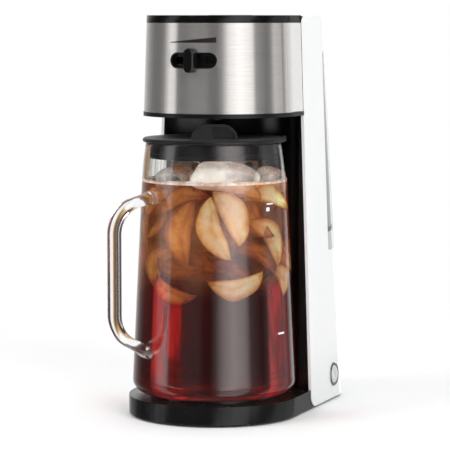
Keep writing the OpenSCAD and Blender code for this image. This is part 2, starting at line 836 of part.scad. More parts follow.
module tank_form(inset, z0, z1)
    difference() {
        housing_form(tank_in + inset, z0, z1);
        translate([0, seat_y, 0])
            cylinder(h = 2 * wide, r = column_r + panel_t + tank_gap + inset, $fn = 128);
        translate([-wide, -wide, 0]) cube([2 * wide, wide + lobe_y + inset, 2 * wide]);
    }

module water_tank() color(smoke)
    difference() {
        union() {
            difference() {
                tank_form(0, tank_z, deck_z - rest_gap);
                tank_form(tank_wall, tank_z + tank_wall, deck_z - rest_gap - tank_wall);
            }
            translate([outlet_x, outlet_y, tank_z - 9]) cylinder(h = 10, r = nipple_r);
        }
        translate([0, 0, deck_z - 2 * tank_wall]) linear_extrude(10)
            round_rect(-fill_w, fill_w,
                       column_r + panel_t + seat_y + tank_gap + tank_wall + tank_lip,
                       fill_back - 1, tank_mouth_r);
        translate([outlet_x, outlet_y, tank_z - 20]) cylinder(h = 30, r = 3);
    }

module tank_seal() color(silicone)
    translate([outlet_x, outlet_y, tank_z - 8]) difference() {
        cylinder(h = 6, r = nipple_r + 2);
        translate([0, 0, -1]) cylinder(h = 8, r = nipple_r + 0.02);
    }

module level_window() color(glass)
    union() {
        intersection() {
            window_prism(-fit);
            difference() {
                housing_form(window_in, foot_h, house_h);
                housing_form(house_wall, foot_h - 1, house_h + 1);
            }
        }
        intersection() {
            window_prism(-fit);
            difference() {
                housing_form(0.2, window_bar_z, window_bar_z + 3);
                housing_form(house_wall, window_bar_z - 1, window_bar_z + 4);
            }
        }
    }

module heater() color(bright)
    difference() {
        union() {
            for (level = [0, 1]) translate([heat_x, heat_y, heat_z + level * 1.5 * heat_r]) {
                rotate([0, 0, -90]) rotate_extrude(angle = 180)
                    translate([heat_bend, 0]) circle(r = heat_r - level, $fn = 32);
                for (side = [-1, 1]) translate([0, side * heat_bend, 0]) rotate([0, -90, 0])
                    cylinder(h = heat_leg - level * 6, r = heat_r - level, $fn = 32);
            }
            for (side = [-1, 1])
                translate([heat_x - heat_leg + 8, heat_y + side * heat_bend - web_w / 2, heat_z])
                    cube([heat_leg - 8, web_w, 1.5 * heat_r]);
        }
        for (side = [-1, 1]) translate([heat_x + 1, heat_y + side * heat_bend, heat_z])
            rotate([0, -90, 0]) cylinder(h = heat_leg + 2, r = 3, $fn = 32);
    }

module heater_clamps() color(steel)
    for (side = [-1, 1]) translate([heat_x - 0.4 * heat_leg, heat_y + side * heat_bend, 0])
        difference() {
            translate([-clamp_w / 2, -heat_r - clamp_t, foot_h + plate_t + rest_gap])
                cube([clamp_w, 2 * (heat_r + clamp_t), heat_z - foot_h - plate_t]);
            translate([-clamp_w, clamp_t - heat_r, foot_h + plate_t + rest_gap + clamp_t])
                cube([2 * clamp_w, 2 * (heat_r - clamp_t),
                      heat_z - foot_h - plate_t - 2 * heat_r]);
            translate([-clamp_w, 0, heat_z]) rotate([0, 90, 0])
                cylinder(h = 2 * clamp_w, r = heat_r + 0.05);
            translate([-clamp_w, -web_w / 2 - 0.1, heat_z - 1])
                cube([2 * clamp_w, web_w + 0.2, 4 * heat_r]);
        }

module thermostat() color(bright)
    translate([heat_x - 8, heat_y - heat_bend, heat_z + 7.5 + heat_r - 1 + 0.3])
        union() {
            cylinder(h = 3, r = 8);
            cylinder(h = 9, r = 5);
            for (side = [-1, 1]) translate([side * 3 - 0.4, -2, 8]) cube([0.8, 4, 6]);
        }

module thermal_fuse() color(silicone)
    translate([heat_x - 36, heat_y + heat_bend, heat_z + 7.5 + heat_r - 1 + 2.8])
        rotate([0, 90, 0]) union() {
            cylinder(h = 14, r = 2.5);
            translate([0, 0, -6]) cylinder(h = 26, r = 0.6);
        }

module check_valve() color(smoke)
    translate([hose_end - 1, heat_y + heat_bend, heat_z]) rotate([0, -90, 0]) union() {
        cylinder(h = valve_len, r = valve_tip_r);
        translate([0, 0, valve_len / 4]) cylinder(h = valve_len / 2, r = valve_r);
    }

// Hoses, from the tank to the heater and from the heater up to the nozzle
module hose_bend(r)
    rotate_extrude(angle = 90) translate([r, 0]) circle(r = hose_r);

module inlet_hose() color(silicone)
    union() {
        translate([outlet_x, outlet_y, heat_z + elbow_r])
            cylinder(h = tank_z - 9 - rest_gap - heat_z - elbow_r, r = hose_r);
        translate([outlet_x + elbow_r, outlet_y, heat_z + elbow_r])
            rotate([90, 0, 0]) rotate([0, 0, 180]) hose_bend(elbow_r);
    }

module riser_hose() color(silicone)
    union() {
        // Out of the heater, then forwards
        translate([riser_x + riser_bend, heat_y - heat_bend, heat_z]) rotate([0, 90, 0])
            cylinder(h = hose_end - rest_gap - riser_x - riser_bend, r = hose_r);
        translate([riser_x + riser_bend, heat_y - heat_bend - riser_bend, heat_z])
            rotate([0, 0, 90]) hose_bend(riser_bend);
        translate([riser_x, riser_y + riser_bend, heat_z]) rotate([-90, 0, 0])
            cylinder(h = heat_y - heat_bend - 2 * riser_bend - riser_y, r = hose_r);
        // Up behind the column
        translate([riser_x, riser_y + riser_bend, heat_z + riser_bend])
            rotate([0, -90, 0]) rotate([0, 0, 180]) hose_bend(riser_bend);
        translate([riser_x, riser_y, heat_z + riser_bend])
            cylinder(h = nozzle_z - heat_z - 2 * riser_bend, r = hose_r);
        // Over to the nozzle
        translate([riser_x + riser_bend, riser_y, nozzle_z - riser_bend])
            rotate([90, 0, 0]) rotate([0, 0, 90]) hose_bend(riser_bend);
        translate([riser_x + riser_bend, riser_y, nozzle_z]) rotate([0, 90, 0])
            cylinder(h = -nozzle_r - rest_gap - riser_x - riser_bend, r = hose_r);
    }

// Elbow that leads the hot water forward into the basket
module water_nozzle() color(rubber)
    difference() {
        union() {
            translate([0, seat_y + well_r + 0.3, nozzle_z]) rotate([-90, 0, 0])
                cylinder(h = riser_y - seat_y - well_r + 4, r = nozzle_r - 0.05);
            translate([0, house_front + 10 + rest_gap, nozzle_z]) rotate([-90, 0, 0])
                cylinder(h = 1.5, r = nozzle_r + 2);
        }
        translate([0, 0, nozzle_z]) rotate([-90, 0, 0])
            cylinder(h = riser_y, r = nozzle_r - 2);
    }

// Power button, its ring, spring and switch, set square to the leaning side
switch_z = -26;
dish_r = 30.2;

module button_ring() color(bright)
    on_side(button_y, button_z) difference() {
        union() {
            rotate_extrude() polygon([
                [cap_r + run_gap, -house_wall - 4], [ring_r - 1.65, -house_wall - 4],
                [ring_r - 1.65, rest_gap], [ring_r, rest_gap], [ring_r, 0.5],
                [ring_r - 0.8, 1.3], [cap_r + run_gap + 0.6, 1.3], [cap_r + run_gap, 0.6]
            ]);
        }
    }

module button_cap() color(white)
    on_side(button_y, button_z) difference() {
        union() {
            translate([0, 0, -8]) cylinder(h = 8.4, r = cap_r);
            translate([0, 0, 0.4]) cylinder(h = 0.8, r1 = cap_r, r2 = cap_r - 0.9);
            translate([0, 0, -14]) cylinder(h = 13, r = 2.2);
        }
        translate([0, 0, -9]) difference() {
            cylinder(h = 6.6, r = cap_r - 1.4);
            cylinder(h = 7, r = 2.2);
        }
        translate([0, 0, dish_r + 0.8]) sphere(r = dish_r, $fn = 96);
    }

module power_switch() color(rubber)
    on_side(button_y, button_z) union() {
        difference() {
            union() {
                translate([-9, -9, switch_z]) cube([18, 18, 10]);
                translate([0, 0, switch_z + 9])
                    cylinder(h = -house_wall - 0.2 - switch_z - 9, r = ring_r - 0.4);
            }
            translate([0, 0, switch_z + 10]) cylinder(h = 20, r = ring_r - 1.6);
            translate([0, 0, switch_z + 5]) cylinder(h = 20, r = cap_r - 2.4);
        }
        for (side = [-1, 1]) translate([-0.4, side * 5 - 2, switch_z - 7]) cube([0.8, 4, 8]);
    }

spring_turns = 3.5;
spring_r = 4.2;
spring_wire = 0.45;
spring_z0 = switch_z + 5 + press + 0.8;
spring_z1 = -2.4 - spring_wire - rest_gap;

// Wire swept along a helix, with an end cap on each end
module button_spring() color(bright)
    on_side(button_y, button_z) {
        steps = 8 * spring_turns;
        sides = 6;
        at = function(i, k)
            let (turn = 360 * i / 8, a = 360 * k / sides, r = spring_r + spring_wire * cos(a))
            [r * cos(turn), r * sin(turn),
             spring_z0 + (spring_z1 - spring_z0) * i / steps + spring_wire * sin(a)];
        polyhedron(
            points = [for (i = [0 : steps], k = [0 : sides - 1]) at(i, k)],
            faces = concat(
                [[for (k = [0 : sides - 1]) k]],
                [for (i = [0 : steps - 1], k = [0 : sides - 1])
                    each [[i * sides + k, (i + 1) * sides + k, i * sides + (k + 1) % sides],
                          [i * sides + (k + 1) % sides, (i + 1) * sides + k,
                           (i + 1) * sides + (k + 1) % sides]]],
                [[for (k = [sides - 1 : -1 : 0]) steps * sides + k]]
            )
        );
    }

// Block with a flange on each side of the wall, slid up into the notch before the floor goes on
module cord_gland() color(rubber)
    difference() {
        union() {
            intersection() {
                union() {
                    gland_notch(fit, -house_wall, house_wall + 2 * fit);
                    gland_notch(-collar_w, rest_gap, collar_t);
                }
                translate([-wide, 0, foot_h + rest_gap]) cube([2 * wide, 2 * wide, wide]);
            }
            intersection() {
                union() {
                    gland_notch(fit, -house_wall - 2 * fit, 2 * fit + 1);
                    gland_notch(-collar_w, -house_wall - fit - collar_t, collar_t);
                }
                translate([-wide, 0, foot_h + plate_t + fit]) cube([2 * wide, 2 * wide, wide]);
            }
            on_back(gland_x, gland_z) {
                cylinder(h = gland_out, r1 = gland_r + 2, r2 = gland_r + 0.6);
                translate([0, 0, -gland_in]) cylinder(h = gland_in + 1, r = gland_r);
            }
        }
        on_back(gland_x, gland_z)
            translate([0, 0, -2 * gland_in]) cylinder(h = 4 * gland_in, r = gland_bore);
    }

block_l = 32;
block_w = 14;
block_x = heat_x - heat_leg + 4;

module terminal_block() color(silicone)
    difference() {
        translate([block_x, heat_y - block_w / 2, foot_h + plate_t + rest_gap])
            cube([block_l, block_w, block_w - 1]);
        for (i = [0 : 2])
            translate([block_x + block_l * (1 + 2 * i) / 6, heat_y - block_w,
                       foot_h + plate_t + 0.6 * block_w])
                rotate([-90, 0, 0]) cylinder(h = 2 * block_w, r = 1.8);
    }

module tank_lid_pins() color(bright)
    both_sides()
        translate([cover_knuckle_x - 0.8, hinge_y, hinge_z]) rotate([0, 90, 0])
            cylinder(h = cover_knuckle_w + cover_ear_w, r = pin_r);

// White lid over the filling hole
module tank_lid() color(white)
    difference() {
        union() {
            translate([0, 0, house_h - cover_t]) linear_extrude(cover_t)
                round_rect(run_gap - fill_w - ledge, fill_w + ledge - run_gap,
                           fill_front - ledge + run_gap, fill_back + ledge - run_gap, 12);
            translate([0, 0, deck_z + 1]) linear_extrude(deck_t - 2) difference() {
                round_rect(1 - fill_w, fill_w - 1, fill_front + 1, fill_back - 1, 9);
                round_rect(3 - fill_w, fill_w - 3, fill_front + 3, fill_back - 3, 7);
            }
            both_sides() {
                translate([cover_knuckle_x, hinge_y, hinge_z]) rotate([0, 90, 0])
                    cylinder(h = cover_knuckle_w, r = cover_knuckle);
                translate([cover_knuckle_x, fill_back - 2, house_h - cover_t])
                    cube([cover_knuckle_w, hinge_y - fill_back + 2, cover_t]);
            }
        }
        both_sides()
            translate([cover_knuckle_x - 1, hinge_y, hinge_z]) rotate([0, 90, 0])
                cylinder(h = cover_knuckle_w + 2, r = pin_r + pin_gap);
    }

// Pitcher: one piece of glass with its handle and pouring lip
bar_round = 2.8;
neck_z0 = jug_h - jug_neck;
straight_mouth = jug_r - jug_lean * (jug_h - jug_round);
neck_pull = (straight_mouth - jug_mouth) / (jug_neck * jug_neck);
function glass_r(h) =
    jug_r - jug_lean * (h - jug_round) - neck_pull * pow(max(0, h - neck_z0), 2);

// Half section of the glass at a depth in from its outside
function glass_side(inset, floor_z, top) = concat(
    [for (a = [-90 : 15 : 0])
        [jug_r - jug_round + (jug_round - inset) * cos(a),
         floor_z + (jug_round - inset) * (1 + sin(a))]],
    [[glass_r(neck_z0) - inset, neck_z0]],
    [for (i = [1 : 6]) [glass_r(neck_z0 + jug_neck * i / 6) - inset, neck_z0 + jug_neck * i / 6]],
    [[glass_r(jug_h) - inset, top]]
);

// Section of the handle's bar, with corners rounded in two steps
module bar_section()
    polygon([for (turn = [45 : 90 : 315], step = [-45, 0, 45])
        [(bar_t / 2 - bar_round) * sign(cos(turn)) + bar_round * cos(turn + step),
         (bar_w / 2 - bar_round) * sign(sin(turn)) + bar_round * sin(turn + step)]]);

// Bend of the bar from straight up to leaning back towards the glass
module bar_bend(turn)
    rotate([90, 0, 0]) rotate_extrude(angle = turn) translate([bend_r, 0]) bar_section();

upright_z1 = jug_h - upright_drop;
top_turn = 78;
foot_turn = 62;
top_leg = 24;
foot_leg = 27;

// Handle in the plane of the glass's axis, +X outwards, from the seat's level
module handle()
    union() {
        translate([handle_reach, 0, upright_z0])
            linear_extrude(upright_z1 - upright_z0) bar_section();
        translate([handle_reach - bend_r, 0, upright_z1]) {
            bar_bend(top_turn);
            rotate([0, -top_turn, 0]) translate([bend_r, 0, 0])
                linear_extrude(top_leg) bar_section();
        }
        translate([handle_reach - bend_r, 0, upright_z0]) mirror([0, 0, 1]) {
            bar_bend(foot_turn);
            rotate([0, -foot_turn, 0]) translate([bend_r, 0, 0])
                linear_extrude(foot_leg) bar_section();
        }
    }

// Form of the pouring lip, leaning out from the wall opposite the handle
module lip_form(grow)
    hull() {
        from_seat(180 + handle_deg, jug_mouth - 10, jug_z + jug_h - 20)
            cylinder(h = 0.1, r = 8 + grow, $fn = 32);
        from_seat(180 + handle_deg, jug_mouth - 8 + lip_out, jug_z + jug_h - 0.1)
            cylinder(h = grow > 0 ? 0.1 : 2, r = 8 + grow, $fn = 32);
    }

module glass_pitcher() color(glass)
    difference() {
        union() {
            translate([0, seat_y, jug_z]) rotate_extrude($fn = 128)
                polygon(concat([[0, 0]], glass_side(0, 0, jug_h), [[0, jug_h]]));
            from_seat(handle_deg, 0, jug_z) rotate([0, 0, -90]) handle();
            lip_form(jug_wall);
        }
        translate([0, seat_y, jug_z]) rotate_extrude($fn = 128)
            polygon(concat([[0, jug_floor]], glass_side(jug_wall, jug_floor, jug_h + 1),
                           [[0, jug_h + 1]]));
        lip_form(0);
    }

// Pitcher lid: disc, skirt with straining slots, drip hole and finger grip
lid_disc_z = jug_z + jug_h + rest_gap;
skirt_r = jug_mouth - jug_wall - skirt_gap;
skirt_z = lid_disc_z - skirt_d;

module tab_outline(inset)
    intersection() {
        union() {
            r = tab_h - 1;
            translate([inset - tab_w / 2, 0]) square([tab_w - 2 * inset, tab_h - r]);
            translate([r - tab_w / 2, 0]) square([tab_w - 2 * r, tab_h - inset]);
            for (side = [-1, 1]) translate([side * (tab_w / 2 - r), tab_h - r])
                circle(r = r - inset, $fn = 48);
        }
        translate([-tab_w, 0]) square([2 * tab_w, tab_h]);
    }

module pitcher_lid() color(black)
    difference() {
        union() {
            translate([0, seat_y, lid_disc_z]) rotate_extrude($fn = 128) polygon([
                [0, 0], [cap_disc_r - 0.8, 0], [cap_disc_r, 0.8],
                [cap_disc_r, cap_disc_t - 1.2], [cap_disc_r - 1.2, cap_disc_t], [0, cap_disc_t]
            ]);
            translate([0, seat_y, skirt_z]) difference() {
                cylinder(h = skirt_d + 1, r = skirt_r, $fn = 128);
                translate([0, 0, -1]) cylinder(h = skirt_d + 3, r = skirt_r - skirt_t, $fn = 128);
            }
            from_seat(tab_deg, cap_disc_r - 5.5, lid_disc_z + cap_disc_t - 1)
                rotate([90, 0, 0]) translate([0, 0, -tab_t / 2]) linear_extrude(tab_t) union() {
                    translate([0, 1]) tab_outline(0);
                    translate([-tab_w / 2, 0]) square([tab_w, 1.5]);
                }
            from_seat(tab_deg + 90, cap_disc_r - 2.4, lid_disc_z)
                cylinder(h = cap_disc_t + 1, r = 2.4, $fn = 24);
        }
        // Hollow in the front of the grip, to the right of its web
        from_seat(tab_deg, cap_disc_r - 5.5, lid_disc_z + cap_disc_t)
            rotate([90, 0, 0]) translate([0, 0, -tab_t / 2 + 1.5]) linear_extrude(tab_t)
                intersection() {
                    tab_outline(2);
                    translate([-2.5, 1.5]) square([tab_w, tab_h]);
                }
        // Dished drip hole
        translate([0, seat_y, lid_disc_z - 1]) cylinder(h = 2 * cap_disc_t, r = drip_r);
        translate([0, seat_y, lid_disc_z + cap_disc_t - 1.6])
            cylinder(h = 1.7, r1 = drip_r, r2 = drip_r + 5);
        for (i = [0 : strain_count - 1])
            from_seat(strain_deg + (i - (strain_count - 1) / 2) * 2.7, skirt_r, skirt_z + 5)
                translate([-strain_w / 2, -4, 0]) cube([strain_w, 8, 6]);
        // Groove of the gasket
        translate([0, seat_y, skirt_z + 2]) difference() {
            cylinder(h = 2, r = skirt_r + 1, $fn = 128);
            translate([0, 0, -1]) cylinder(h = 4, r = skirt_r - 0.9, $fn = 128);
        }
    }

module lid_gasket() color(silicone)
    translate([0, seat_y, skirt_z + 2 + rest_gap]) difference() {
        cylinder(h = 2 - 2 * rest_gap, r = skirt_r + skirt_gap / 2, $fn = 128);
        translate([0, 0, -1]) cylinder(h = 4, r = skirt_r - 0.9 + 0.05, $fn = 128);
    }

base_tray();
base_plate();
rubber_feet();
base_screws();
column_panel();
rear_housing();
head_frame();
seam_strip();
steel_band();
slot_liner();
water_tank();
tank_seal();
level_window();
heater();
heater_clamps();
thermostat();
thermal_fuse();
inlet_hose();
check_valve();
riser_hose();
water_nozzle();
power_switch();
button_ring();
cord_gland();
terminal_block();
tank_lid_pins();
strength_lever();
lever_carrier();
brew_basket();
filter_frame();
filter_mesh();
basket_lid_pin();
basket_lid();
tank_lid();
button_cap();
button_spring();
glass_pitcher();
pitcher_lid();
lid_gasket();
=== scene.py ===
import math
import bmesh
import bpy
import numpy as np
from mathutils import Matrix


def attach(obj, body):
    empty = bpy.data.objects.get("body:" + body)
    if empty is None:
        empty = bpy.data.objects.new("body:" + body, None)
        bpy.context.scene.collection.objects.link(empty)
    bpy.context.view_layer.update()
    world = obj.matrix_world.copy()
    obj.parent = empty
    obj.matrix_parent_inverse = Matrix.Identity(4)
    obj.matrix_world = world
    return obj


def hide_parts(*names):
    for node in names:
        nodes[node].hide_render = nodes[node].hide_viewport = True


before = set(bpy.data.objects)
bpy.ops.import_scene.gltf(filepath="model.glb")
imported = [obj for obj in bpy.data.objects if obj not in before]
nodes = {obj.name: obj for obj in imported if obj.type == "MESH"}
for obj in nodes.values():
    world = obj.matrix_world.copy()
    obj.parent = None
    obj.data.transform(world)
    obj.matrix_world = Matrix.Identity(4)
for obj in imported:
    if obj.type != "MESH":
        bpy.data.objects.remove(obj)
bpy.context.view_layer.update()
mm = 0.001
cameraRay, lampRay, glossyRay, throughRay = 0, 1, 3, 6  # outputs of the Light Path node
print("frame loaded:", len(nodes), "pieces")


# shader maths written as plain expressions
class Flow:
    # one socket of a node tree; + - * / on it add Math nodes
    def __init__(self, tree, socket):
        self.tree, self.socket = tree, socket

    def node(self, kind, settings=None, values=None, out=0):
        return addNode(self.tree, kind, settings, values, out)

    def math(self, operation, a, b):
        return self.node("ShaderNodeMath", {"operation": operation}, {0: a, 1: b})

    def __add__(self, other): return self.math("ADD", self, other)
    def __radd__(self, other): return self.math("ADD", other, self)
    def __sub__(self, other): return self.math("SUBTRACT", self, other)
    def __rsub__(self, other): return self.math("SUBTRACT", other, self)
    def __mul__(self, other): return self.math("MULTIPLY", self, other)
    def __rmul__(self, other): return self.math("MULTIPLY", other, self)
    def __truediv__(self, other): return self.math("DIVIDE", self, other)

    def step(self, low, high, a=0.0, b=1.0):  # smooth change from a to b
        return self.node("ShaderNodeMapRange", {"interpolation_type": "SMOOTHSTEP"},
                         {"Value": self, "From Min": low, "From Max": high,
                          "To Min": a, "To Max": b})

    def between(self, ends, a=0.0, b=1.0):  # the same along an axis, its ends in millimetres
        return self.step(ends[0] * mm, ends[1] * mm, a, b)


def addNode(tree, kind, settings=None, values=None, out=0):
    made = tree.nodes.new(kind)
    for name, value in (settings or {}).items():
        if name == "stops":
            ramp = made.color_ramp
            while len(ramp.elements) < len(value):
                ramp.elements.new(0.5)
            for element, (place, colour) in zip(ramp.elements, value):
                element.position, element.color = place, colour
        else:
            setattr(made, name, value)
    for name, value in (values or {}).items():
        target = made.inputs[name]
        if isinstance(value, Flow):
            tree.links.new(value.socket, target)
        elif value is not None:
            target.default_value = value
    return Flow(tree, made.outputs[out])


def rgb(red, green, blue):  # screen colour, 0 to 255, as linear light
    linear = [c / 255 for c in (red, green, blue)]
    linear = [c / 12.92 if c < 0.04045 else ((c + 0.055) / 1.055) ** 2.4 for c in linear]
    return (*linear, 1.0)


def tinted(colour, factor, extra=0.0):  # paler or darker, and never above white
    return tuple(min(1, c * factor + extra) for c in colour[:3]) + (1,)


class Paint:
    def __init__(self, name):
        self.material = bpy.data.materials.new(name)
        self.material.use_nodes = True
        self.tree = self.material.node_tree
        self.tree.nodes.clear()
        self.place = self.node("ShaderNodeTexCoord", out=3)

    def node(self, kind, settings=None, values=None, out=0):
        return addNode(self.tree, kind, settings, values, out)

    def axes(self):
        return [self.node("ShaderNodeSeparateXYZ", None, {0: self.place}, out=i) for i in range(3)]

    def stretched(self, x, y, z):  # object coordinates scaled along each axis
        return self.node("ShaderNodeMapping", None, {"Vector": self.place, "Scale": (x, y, z)})

    def noise(self, scale, detail, rough, place=None):
        return self.node("ShaderNodeTexNoise", None,
                         {"Vector": place or self.place, "Scale": scale, "Detail": detail,
                          "Roughness": rough})

    def mix(self, factor, a, b):
        return self.node("ShaderNodeMix", {"data_type": "RGBA"}, {0: factor, 6: a, 7: b}, out=2)

    def bump(self, height, strength, distance, normal=None):
        return self.node("ShaderNodeBump", None, {"Height": height, "Strength": strength,
                                                  "Distance": distance, "Normal": normal})

    def surface(self, values):
        return self.node("ShaderNodeBsdfPrincipled", None, values)

    def blend(self, factor, a, b):
        return self.node("ShaderNodeMixShader", None, {0: factor, 1: a, 2: b})

    def letLampsPass(self, shader, colour):  # so that what is behind a clear piece is lit
        rays = self.node("ShaderNodeLightPath", out=lampRay)
        clear = self.node("ShaderNodeBsdfTransparent", None, {"Color": colour})
        return self.blend(rays, shader, clear)

    def finish(self, values, clearForLamps=None):
        shader = self.surface(values)
        if clearForLamps:
            shader = self.letLampsPass(shader, clearForLamps)
        self.output(shader)
        return self.material

    def output(self, shader, volume=None):
        made = self.tree.nodes.new("ShaderNodeOutputMaterial")
        self.tree.links.new(shader.socket, made.inputs["Surface"])
        if volume:
            self.tree.links.new(volume.socket, made.inputs["Volume"])


# camera: the photograph's angle, fitted to its outlines; angles in degrees, places in metres
view = {"azimuth": 22.0, "distance": 1.900, "height": 0.3447, "pitch": 5.42, "yaw": 0.273,
        "lens": 176.2, "sensor": 36.0, "near": 0.05, "far": 60.0,
        "axisY": -0.031}  # y of the pitcher's axis, which the camera turns round


def makeCamera():
    turn = math.radians(view["azimuth"])
    data = bpy.data.cameras.new("camera")
    data.lens, data.sensor_width = view["lens"], view["sensor"]
    data.clip_start, data.clip_end = view["near"], view["far"]
    camera = bpy.data.objects.new("camera", data)
    camera.location = (view["distance"] * math.sin(turn),
                       view["axisY"] - view["distance"] * math.cos(turn), view["height"])
    camera.rotation_euler = (math.radians(90 - view["pitch"]), 0.0,
                             turn - math.radians(view["yaw"]))
    bpy.context.scene.collection.objects.link(camera)
    bpy.context.scene.camera = camera


# studio: white to the camera, with cards and gaps that polished and clear pieces show
amber, brown = (0.62, 0.42, 0.17), (0.22, 0.08, 0.03)
studio = {"fill": 0.62,  # grey level that lights the object from all round
          # bearing from the front, turned to the right, in degrees, and the grey or colour there:
          # cards and gaps between them, as polished pieces mirror them
          "mirrored": [(-180, 1.7), (-166, 1.7), (-152, 0.8), (-134, 0.62), (-112, 0.22),
                       (-100, 0.05), (-84, 0.02), (-74, 0.18), (-66, 0.9), (-61, 1.4), (-52, 1.2),
                       (-47, 0.12), (-38, 0.04), (-20, 0.15), (-2, 0.15), (7, 0.02), (16, 0.02),
                       (23, 0.24), (29, 0.9), (34, 1.5), (50, 2.1), (65, 1.7), (71, 1.4),
                       (75, 0.32), (84, 0.18), (96, 0.03), (103, 0.18), (110, 0.8), (132, 0.5),
                       (143, 0.6), (154, 0.08), (180, 1.7)],
          # rays that pass through clear pieces see white behind the object, between dark cards
          "through": [(-180, 1.0), (-150, 1.0), (-144, amber), (-126, brown), (-112, 0.06),
                      (-84, 0.03), (-74, 0.18), (-66, 0.9), (-52, 1.25), (-47, 0.12),
                      (-38, 0.04), (-20, 0.12), (-2, 0.12), (7, 0.03), (16, 0.03), (23, 0.24),
                      (29, (0.7, 0.6, 0.6)), (36, (1.3, 1.1, 1.1)), (50, (2.2, 1.9, 1.9)),
                      (64, (1.45, 1.25, 1.25)), (69, (1.1, 0.95, 0.95)), (73, 0.32), (84, 0.12),
                      (96, 0.03), (110, 0.25), (124, 0.08), (158, 0.04), (167, 1.0), (180, 1.0)]}


def makeWorld():
    # the two rows of cards are colour ramps over the ray's bearing
    world = bpy.data.worlds.new("studio")
    world.use_nodes = True
    tree = world.node_tree
    tree.nodes.clear()
    ray = addNode(tree, "ShaderNodeTexCoord", out=0)
    x, y = [addNode(tree, "ShaderNodeSeparateXYZ", None, {0: ray}, out=i) for i in range(2)]
    bearing = x.math("ARCTAN2", x, -1.0 * y) / (2 * math.pi) + 0.5
    shown = {}
    for name in ("mirrored", "through"):
        stops = [((angle + 180) / 360, (*np.broadcast_to(level, 3).tolist(), 1.0))
                 for angle, level in studio[name]]
        shown[name] = addNode(tree, "ShaderNodeValToRGB", {"stops": stops}, {0: bearing})
    colour = (studio["fill"],) * 3 + (1,)
    for out, seen in ((glossyRay, shown["mirrored"]), (throughRay, shown["through"]),
                      (cameraRay, (1, 1, 1, 1))):
        kind = addNode(tree, "ShaderNodeLightPath", out=out)
        colour = addNode(tree, "ShaderNodeMix", {"data_type": "RGBA"},
                         {0: kind, 6: colour, 7: seen}, out=2)
    background = addNode(tree, "ShaderNodeBackground", None, {"Color": colour, "Strength": 1.0})
    made = tree.nodes.new("ShaderNodeOutputWorld")
    tree.links.new(background.socket, made.inputs["Surface"])
    bpy.context.scene.world = world


# soft boxes: left, right and overhead; place, aim and width in metres, power in watts
lamps = [{"place": (-1.6, -1.4, 1.9), "aim": (0, 0, 0.15), "width": 1.2, "power": 26},
         {"place": (1.7, -1.2, 1.6), "aim": (0, 0, 0.15), "width": 1.2, "power": 22},
         {"place": (0.0, 0.4, 2.4), "aim": (0, 0, 0.1), "width": 1.6, "power": 18}]


def makeLamps():
    for i, lamp in enumerate(lamps):
        data = bpy.data.lights.new(f"softbox{i}", "AREA")
        data.shape, data.size, data.energy = "SQUARE", lamp["width"], lamp["power"]
        made = bpy.data.objects.new(f"softbox{i}", data)
        place, aim = np.array(lamp["place"]), np.array(lamp["aim"])
        made.location = place
        away = (place - aim) / np.linalg.norm(place - aim)
        made.rotation_euler = (math.acos(away[2]), 0.0, math.atan2(away[0], -away[1]))
        made.visible_glossy = False  # polished pieces mirror the cards, not the lamps
        bpy.context.scene.collection.objects.link(made)


# surfaces from arrays
def gridFaces(rows, columns, closed):
    # quads between neighbouring rows and columns of a grid; closed joins last column to first
    i, j = np.meshgrid(np.arange(rows - 1), np.arange(columns if closed else columns - 1),
                       indexing="ij")
    k = (j + 1) % columns
    return np.stack([i * columns + j, i * columns + k, (i + 1) * columns + k,
                     (i + 1) * columns + j], -1).reshape(-1, 4)


def makePiece(name, points, faces, material, sharp=40.0):
    # smooth but for edges that turn by more than sharp, in degrees
    mesh = bpy.data.meshes.new(name)
    mesh.from_pydata(np.asarray(points).reshape(-1, 3).tolist(), [],
                     [list(map(int, face)) for face in faces])
    mesh.validate()
    mesh.shade_smooth()
    mesh.set_sharp_from_angle(angle=math.radians(sharp))
    mesh.materials.append(material)
    made = bpy.data.objects.new(name, mesh)
    bpy.context.scene.collection.objects.link(made)
    return made


def lathe(profile, steps, reach=None):
    # points at (radius, height) turned about the pitcher's axis; ends on the axis close in a point
    profile = np.asarray(profile, float)
    angle = np.linspace(0, 2 * np.pi, steps, endpoint=False)
    onAxis = profile[:, 0] < 1e-9
    rings = profile[~onAxis]
    radius = np.repeat(rings[:, :1], steps, 1)
    height = np.repeat(rings[:, 1:], steps, 1)
    if reach is not None:  # changes the radius by height and angle
        radius = radius + reach(height, angle[None, :])
    points = np.stack([radius * np.sin(angle), view["axisY"] - radius * np.cos(angle),
                       height], -1).reshape(-1, 3)
    faces = gridFaces(len(rings), steps, True).tolist()
    turn = np.arange(steps)
    for end, first in ((0, 0), (-1, (len(rings) - 1) * steps)):
        if onAxis[end]:
            tip = len(points)
            points = np.vstack([points, [0.0, view["axisY"], profile[end, 1]]])
            ring, following = first + turn, first + (turn + 1) % steps
            pair = (following, ring) if end == 0 else (ring, following)
            faces += np.stack([pair[0], pair[1], np.full(steps, tip)], -1).tolist()
    return points, faces


def squarish(value):
    # signed power of a sine or cosine, which squares a circle off: sign(v) |v|^0.62
    return np.sign(value) * np.abs(value) ** 0.62


def sweep(path, side, section, scale):
    # section (across, along side) carried along a path and scaled both ways at each of its points;
    # side is the constant sideways direction, and a flat face closes each end
    path, side = np.asarray(path, float), np.asarray(side, float)
    along = np.gradient(path, axis=0)
    along /= np.linalg.norm(along, axis=1)[:, None]
    across = np.cross(along, side)
    across /= np.linalg.norm(across, axis=1)[:, None]
    points = (path[:, None] + across[:, None] * section[None, :, :1] * scale[:, None, :1]
              + side * section[None, :, 1:] * scale[:, None, 1:])
    faces = gridFaces(len(path), len(section), True).tolist()
    count = len(section)
    faces += [list(range(count))[::-1], [(len(path) - 1) * count + i for i in range(count)]]
    return points, faces


